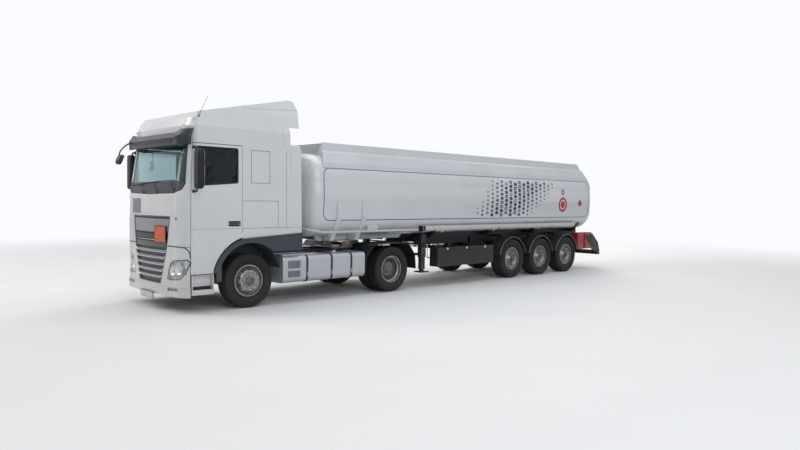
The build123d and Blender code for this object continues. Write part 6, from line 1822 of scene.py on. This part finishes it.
class TANKER_OT_seats(bpy.types.Operator):
    """Stuffs the two seats' cushions, backrests and headrests, and builds their pedestals and the padded
    bunk"""
    bl_idname = "tanker.seats"
    bl_label = "Seats and bunk"

    def execute(self, context):
        seat_cloth = cloth("seat_cloth", (0.045, 0.048, 0.055))
        for name, half, voxel, cap, channels, turn, place in SEAT_PADS:
            mesh = puffed(soft_box(half), voxel, cap, channels)
            for side, s in SIDES:
                pad_piece(f"seat_{name}_{side}", mesh, turn, (s * SEAT_X, at(place[1]), place[2]), seat_cloth,
                    "seats", s)
        for side, s in SIDES:
            self.pedestal(side, s)
        mesh = puffed(soft_box((1.075, 0.262, 0.045), 0.2, 25, 96), 0.014, 0.022, ((0, -0.36), (0, 0.36)))
        pad_piece("mattress", mesh, 0, (0, at(0.525), 1.885), cloth("bunk_cloth", (0.11, 0.11, 0.12)),
                  "bunk")
        self.bunk_base()
        return {"FINISHED"}

    def pedestal(self, side, s):
        """A seat's foot is a bellows whose half width swings in and out with height, under a shallow tray. Its
        fittings are the headrest's posts, a side rail and the belt's buckle."""
        loop = rounded_loop(0.5, 0.5, 0.16, 5)
        rows = [(1.4455, 0.0), (1.4455, 0.40), (1.475, 0.40), (1.485, 0.35)]
        rows += [(1.49 + 0.028 * k, 0.315 if k % 2 else 0.355) for k in range(11)]
        rows += [(1.80, 0.36), (1.815, 0.43), (1.85, 0.45), (1.862, 0.44), (1.862, 0.0)]
        rings = [spots(s * SEAT_X + loop[:, 0] * w, at(-0.27) + loop[:, 1] * w * 1.05, z) for z, w in rows]
        add_piece(f"seat_pedestal_{side}", hull(rings), "tractor", "cabin_dark",
                  smooth=35, replaces="seats")
        posts = [tube_shape([(s * SEAT_X + x, at(0.11), 2.50), (s * SEAT_X + x, at(0.12), 2.62)], 0.008, 10)
                 for x in (-0.05, 0.05)]
        rail = tube_shape([(s * SEAT_X + 0.235, at(y), z)
            for y, z in ((-0.40, 1.87), (-0.1, 1.865), (0.05, 1.93), (0.1, 2.05))], 0.014, 10)
        belt = tube_shape([(s * (SEAT_X + 0.245), at(0.02), 1.90), (s * (SEAT_X + 0.24), at(-0.02), 1.985)],
                          (0.012, 0.009), 10)
        add_piece(f"seat_fittings_{side}", join([*posts, rail, belt]), "tractor", "black_plastic",
                  smooth=50, replaces="seats")

    def bunk_base(self):
        """The locker under the bunk: a rounded box with a lid's groove and two finger pulls."""
        loop = rounded_loop(1.1, 0.282, 0.03, 5)
        rows = [(1.4455, 0.0), (1.4455, 0.985), (1.452, 1.0), (1.74, 1.0), (1.745, 0.988), (1.753, 0.988),
            (1.758, 1.0), (1.825, 1.0), (1.835, 0.99), (1.835, 0.0)]
        rings = [spots(loop[:, 0] * (1 - (1 - w) * 0.3 if w else 0), at(0.526) + loop[:, 1] * w, z)
            for z, w in rows]
        pulls = []
        for x in (-0.5, 0.5):
            pulls.append(tube_shape([(x - 0.06, at(0.246), 1.70), (x - 0.05, at(0.240), 1.70),
                (x + 0.05, at(0.240), 1.70), (x + 0.06, at(0.246), 1.70)], 0.008, 10))
        add_piece("bunk_base", join([hull(rings), *pulls]), "tractor", "cabin_grey",
                  smooth=35, replaces="bunk")


# Camera: where the photograph was taken from, found by lining up known points of the vehicle with it
PHOTO_WIDTH = 800.0          # pixels
FOCAL = 669.2                # pixels
CAMERA_PLACE = (12.069, -6.598, 2.041)       # Y from the front axle
CAMERA_YAW, CAMERA_PITCH, CAMERA_ROLL = -46.10, -2.11, 0.78      # degrees; yaw turns from +Y towards +X
SENSOR = 36.0                # millimetres


class TANKER_OT_studio(bpy.types.Operator):
    """Makes the floor, the soft lights, the pale background and the camera"""
    bl_idname = "tanker.studio"
    bl_label = "Studio"

    def execute(self, context):
        scene = context.scene
        self.floor()
        self.background(scene)
        for name, place, target, size, power, colour in (
                ("key", (-12, at(-13), 15), (0, at(2), 1.5), 12, 2000, (1.0, 0.97, 0.93)),
                ("fill", (18, at(-3), 10), (0, at(4), 1.5), 14, 1250, (0.93, 0.96, 1.0)),
                ("top", (0, at(5), 18), (0, at(5), 0), 16, 1700, (0.95, 0.97, 1.0)),
                ("rear", (-9, at(22), 10), (0, at(9), 1.5), 10, 1500, (1.0, 0.98, 0.95))):
            lamp = bpy.data.lights.new(name, "AREA")
            lamp.energy, lamp.size, lamp.color = power, size, colour
            obj = linked(name, lamp)
            obj.location = place
            obj.rotation_euler = (Vector(target) - Vector(place)).to_track_quat("-Z", "Y").to_euler()
        self.camera(scene)
        scene.view_settings.view_transform = "Standard"
        return {"FINISHED"}

    def floor(self):
        """A round sheet on the ground: rings of points whose radius grows with the square of their number.
        Its far part fades into the background."""
        spread = 90.0 * np.linspace(0, 1, 12)[:, None] ** 2
        turn = np.linspace(0, 2 * math.pi, 48, endpoint=False)[None]
        points = spots(spread * np.cos(turn), spread * np.sin(turn), 0.0)
        material, tree, shader, spot = new_material("studio_floor")
        grain = node(tree, "TexNoise", {"Vector": spot, "Scale": 0.7}).outputs["Fac"]
        tree.links.new(mixed(tree, grain, shade((0.76, 0.755, 0.745)), shade((0.80, 0.795, 0.785))),
                       shader.inputs["Base Color"])
        set_inputs(shader, Roughness=0.85)
        place = node(tree, "SeparateXYZ", {"Vector": spot})
        squares = [calc(tree, "MULTIPLY", place.outputs[k], place.outputs[k]) for k in ("X", "Y")]
        away = calc(tree, "SQRT", calc(tree, "ADD", *squares))
        seen = calc(tree, "MULTIPLY", ranged(tree, away, 9, 24, 0, 1, True),
                    node(tree, "LightPath").outputs["Is Camera Ray"])
        glow = node(tree, "Emission", {"Color": (0.96, 0.97, 1, 1), "Strength": 1.0})
        chosen = node(tree, "MixShader", {0: seen, 1: shader.outputs[0], 2: glow.outputs[0]})
        tree.links.new(chosen.outputs[0], tree.nodes["Material Output"].inputs["Surface"])
        mesh = bpy.data.meshes.new("studio_floor")
        corners, faces = patch(points, wrap_cols=True)
        mesh.from_pydata(corners.tolist(), [], faces.tolist())
        mesh.materials.append(material)
        linked("studio_floor", mesh)

    def background(self, scene):
        """White where the camera, metal or glass sees it, and a soft even light elsewhere."""
        world = bpy.data.worlds.new("studio")
        scene.world = world
        world.use_nodes = True
        tree = world.node_tree
        path = node(tree, "LightPath")
        seen = calc(tree, "MAXIMUM", path.outputs["Is Camera Ray"], path.outputs["Is Glossy Ray"])
        seen = calc(tree, "MAXIMUM", seen, path.outputs["Is Transmission Ray"])
        plain, pale = tree.nodes["Background"], node(tree, "Background",
            {"Color": (0.96, 0.97, 1, 1), "Strength": 1.0})
        plain.inputs["Color"].default_value = (0.88, 0.93, 1, 1)
        plain.inputs["Strength"].default_value = 0.32
        chosen = node(tree, "MixShader", {0: seen, 1: plain.outputs[0], 2: pale.outputs[0]})
        tree.links.new(chosen.outputs[0], tree.nodes["World Output"].inputs["Surface"])

    def camera(self, scene):
        """The camera looks along its yaw and pitch, and rolls about that line."""
        yaw, pitch, roll = (math.radians(a) for a in (CAMERA_YAW, CAMERA_PITCH, CAMERA_ROLL))
        ahead = Vector((math.sin(yaw) * math.cos(pitch), math.cos(yaw) * math.cos(pitch), math.sin(pitch)))
        lens = bpy.data.cameras.new("camera")
        lens.sensor_width, lens.lens = SENSOR, FOCAL / PHOTO_WIDTH * SENSOR
        lens.clip_end = 500
        eye = linked("camera", lens)
        x, y, z = CAMERA_PLACE
        eye.location = (x, at(y), z)
        right = ahead.cross(Vector((0, 0, 1))).normalized()
        up = right.cross(ahead)
        across, over = (math.cos(roll) * right + math.sin(roll) * up,
            -math.sin(roll) * right + math.cos(roll) * up)
        eye.rotation_euler = Matrix((across, over, -ahead)).transposed().to_euler()
        scene.camera = eye


class TANKER_PT_panel(bpy.types.Panel):
    """Lists the tanker's steps, sizes and colours"""
    bl_idname = "TANKER_PT_panel"
    bl_label = "Tanker Truck"
    bl_space_type = "VIEW_3D"
    bl_region_type = "UI"
    bl_category = "Tanker"

    def draw(self, context):
        for step in STEPS:
            self.layout.operator(step.bl_idname)
        for group in (context.scene.tanker_sizes, context.scene.tanker_colours):
            for name in group.__annotations__:
                self.layout.prop(group, name)


STEPS = (TANKER_OT_frame_finishes, TANKER_OT_tyres, TANKER_OT_wheel_details,
         TANKER_OT_tank, TANKER_OT_tank_marks, TANKER_OT_screen,
         TANKER_OT_visor, TANKER_OT_grille_trim, TANKER_OT_lamps,
         TANKER_OT_doors, TANKER_OT_mirrors, TANKER_OT_arches,
         TANKER_OT_seams, TANKER_OT_rows, TANKER_OT_trailer_sides,
         TANKER_OT_trailer_top, TANKER_OT_trailer_rear, TANKER_OT_seats,
         TANKER_OT_studio)
CLASSES = (TankerColours, TankerSizes, *STEPS, TANKER_PT_panel)


def register():
    for cls in CLASSES:
        bpy.utils.register_class(cls)
    bpy.types.Scene.tanker_colours = bpy.props.PointerProperty(type=TankerColours)
    bpy.types.Scene.tanker_sizes = bpy.props.PointerProperty(type=TankerSizes)


def unregister():
    del bpy.types.Scene.tanker_sizes
    del bpy.types.Scene.tanker_colours
    for cls in reversed(CLASSES):
        bpy.utils.unregister_class(cls)


def main():
    register()
    bpy.ops.tanker.frame_finishes()
    bpy.ops.tanker.tyres()
    bpy.ops.tanker.wheel_details()
    bpy.ops.tanker.tank()
    bpy.ops.tanker.tank_marks()
    bpy.ops.tanker.screen()
    bpy.ops.tanker.visor()
    bpy.ops.tanker.grille_trim()
    bpy.ops.tanker.lamps()
    bpy.ops.tanker.doors()
    bpy.ops.tanker.mirrors()
    bpy.ops.tanker.arches()
    bpy.ops.tanker.seams()
    bpy.ops.tanker.rows()
    bpy.ops.tanker.trailer_sides()
    bpy.ops.tanker.trailer_top()
    bpy.ops.tanker.trailer_rear()
    bpy.ops.tanker.seats()
    bpy.ops.tanker.studio()


if __name__ == "__main__":
    main()
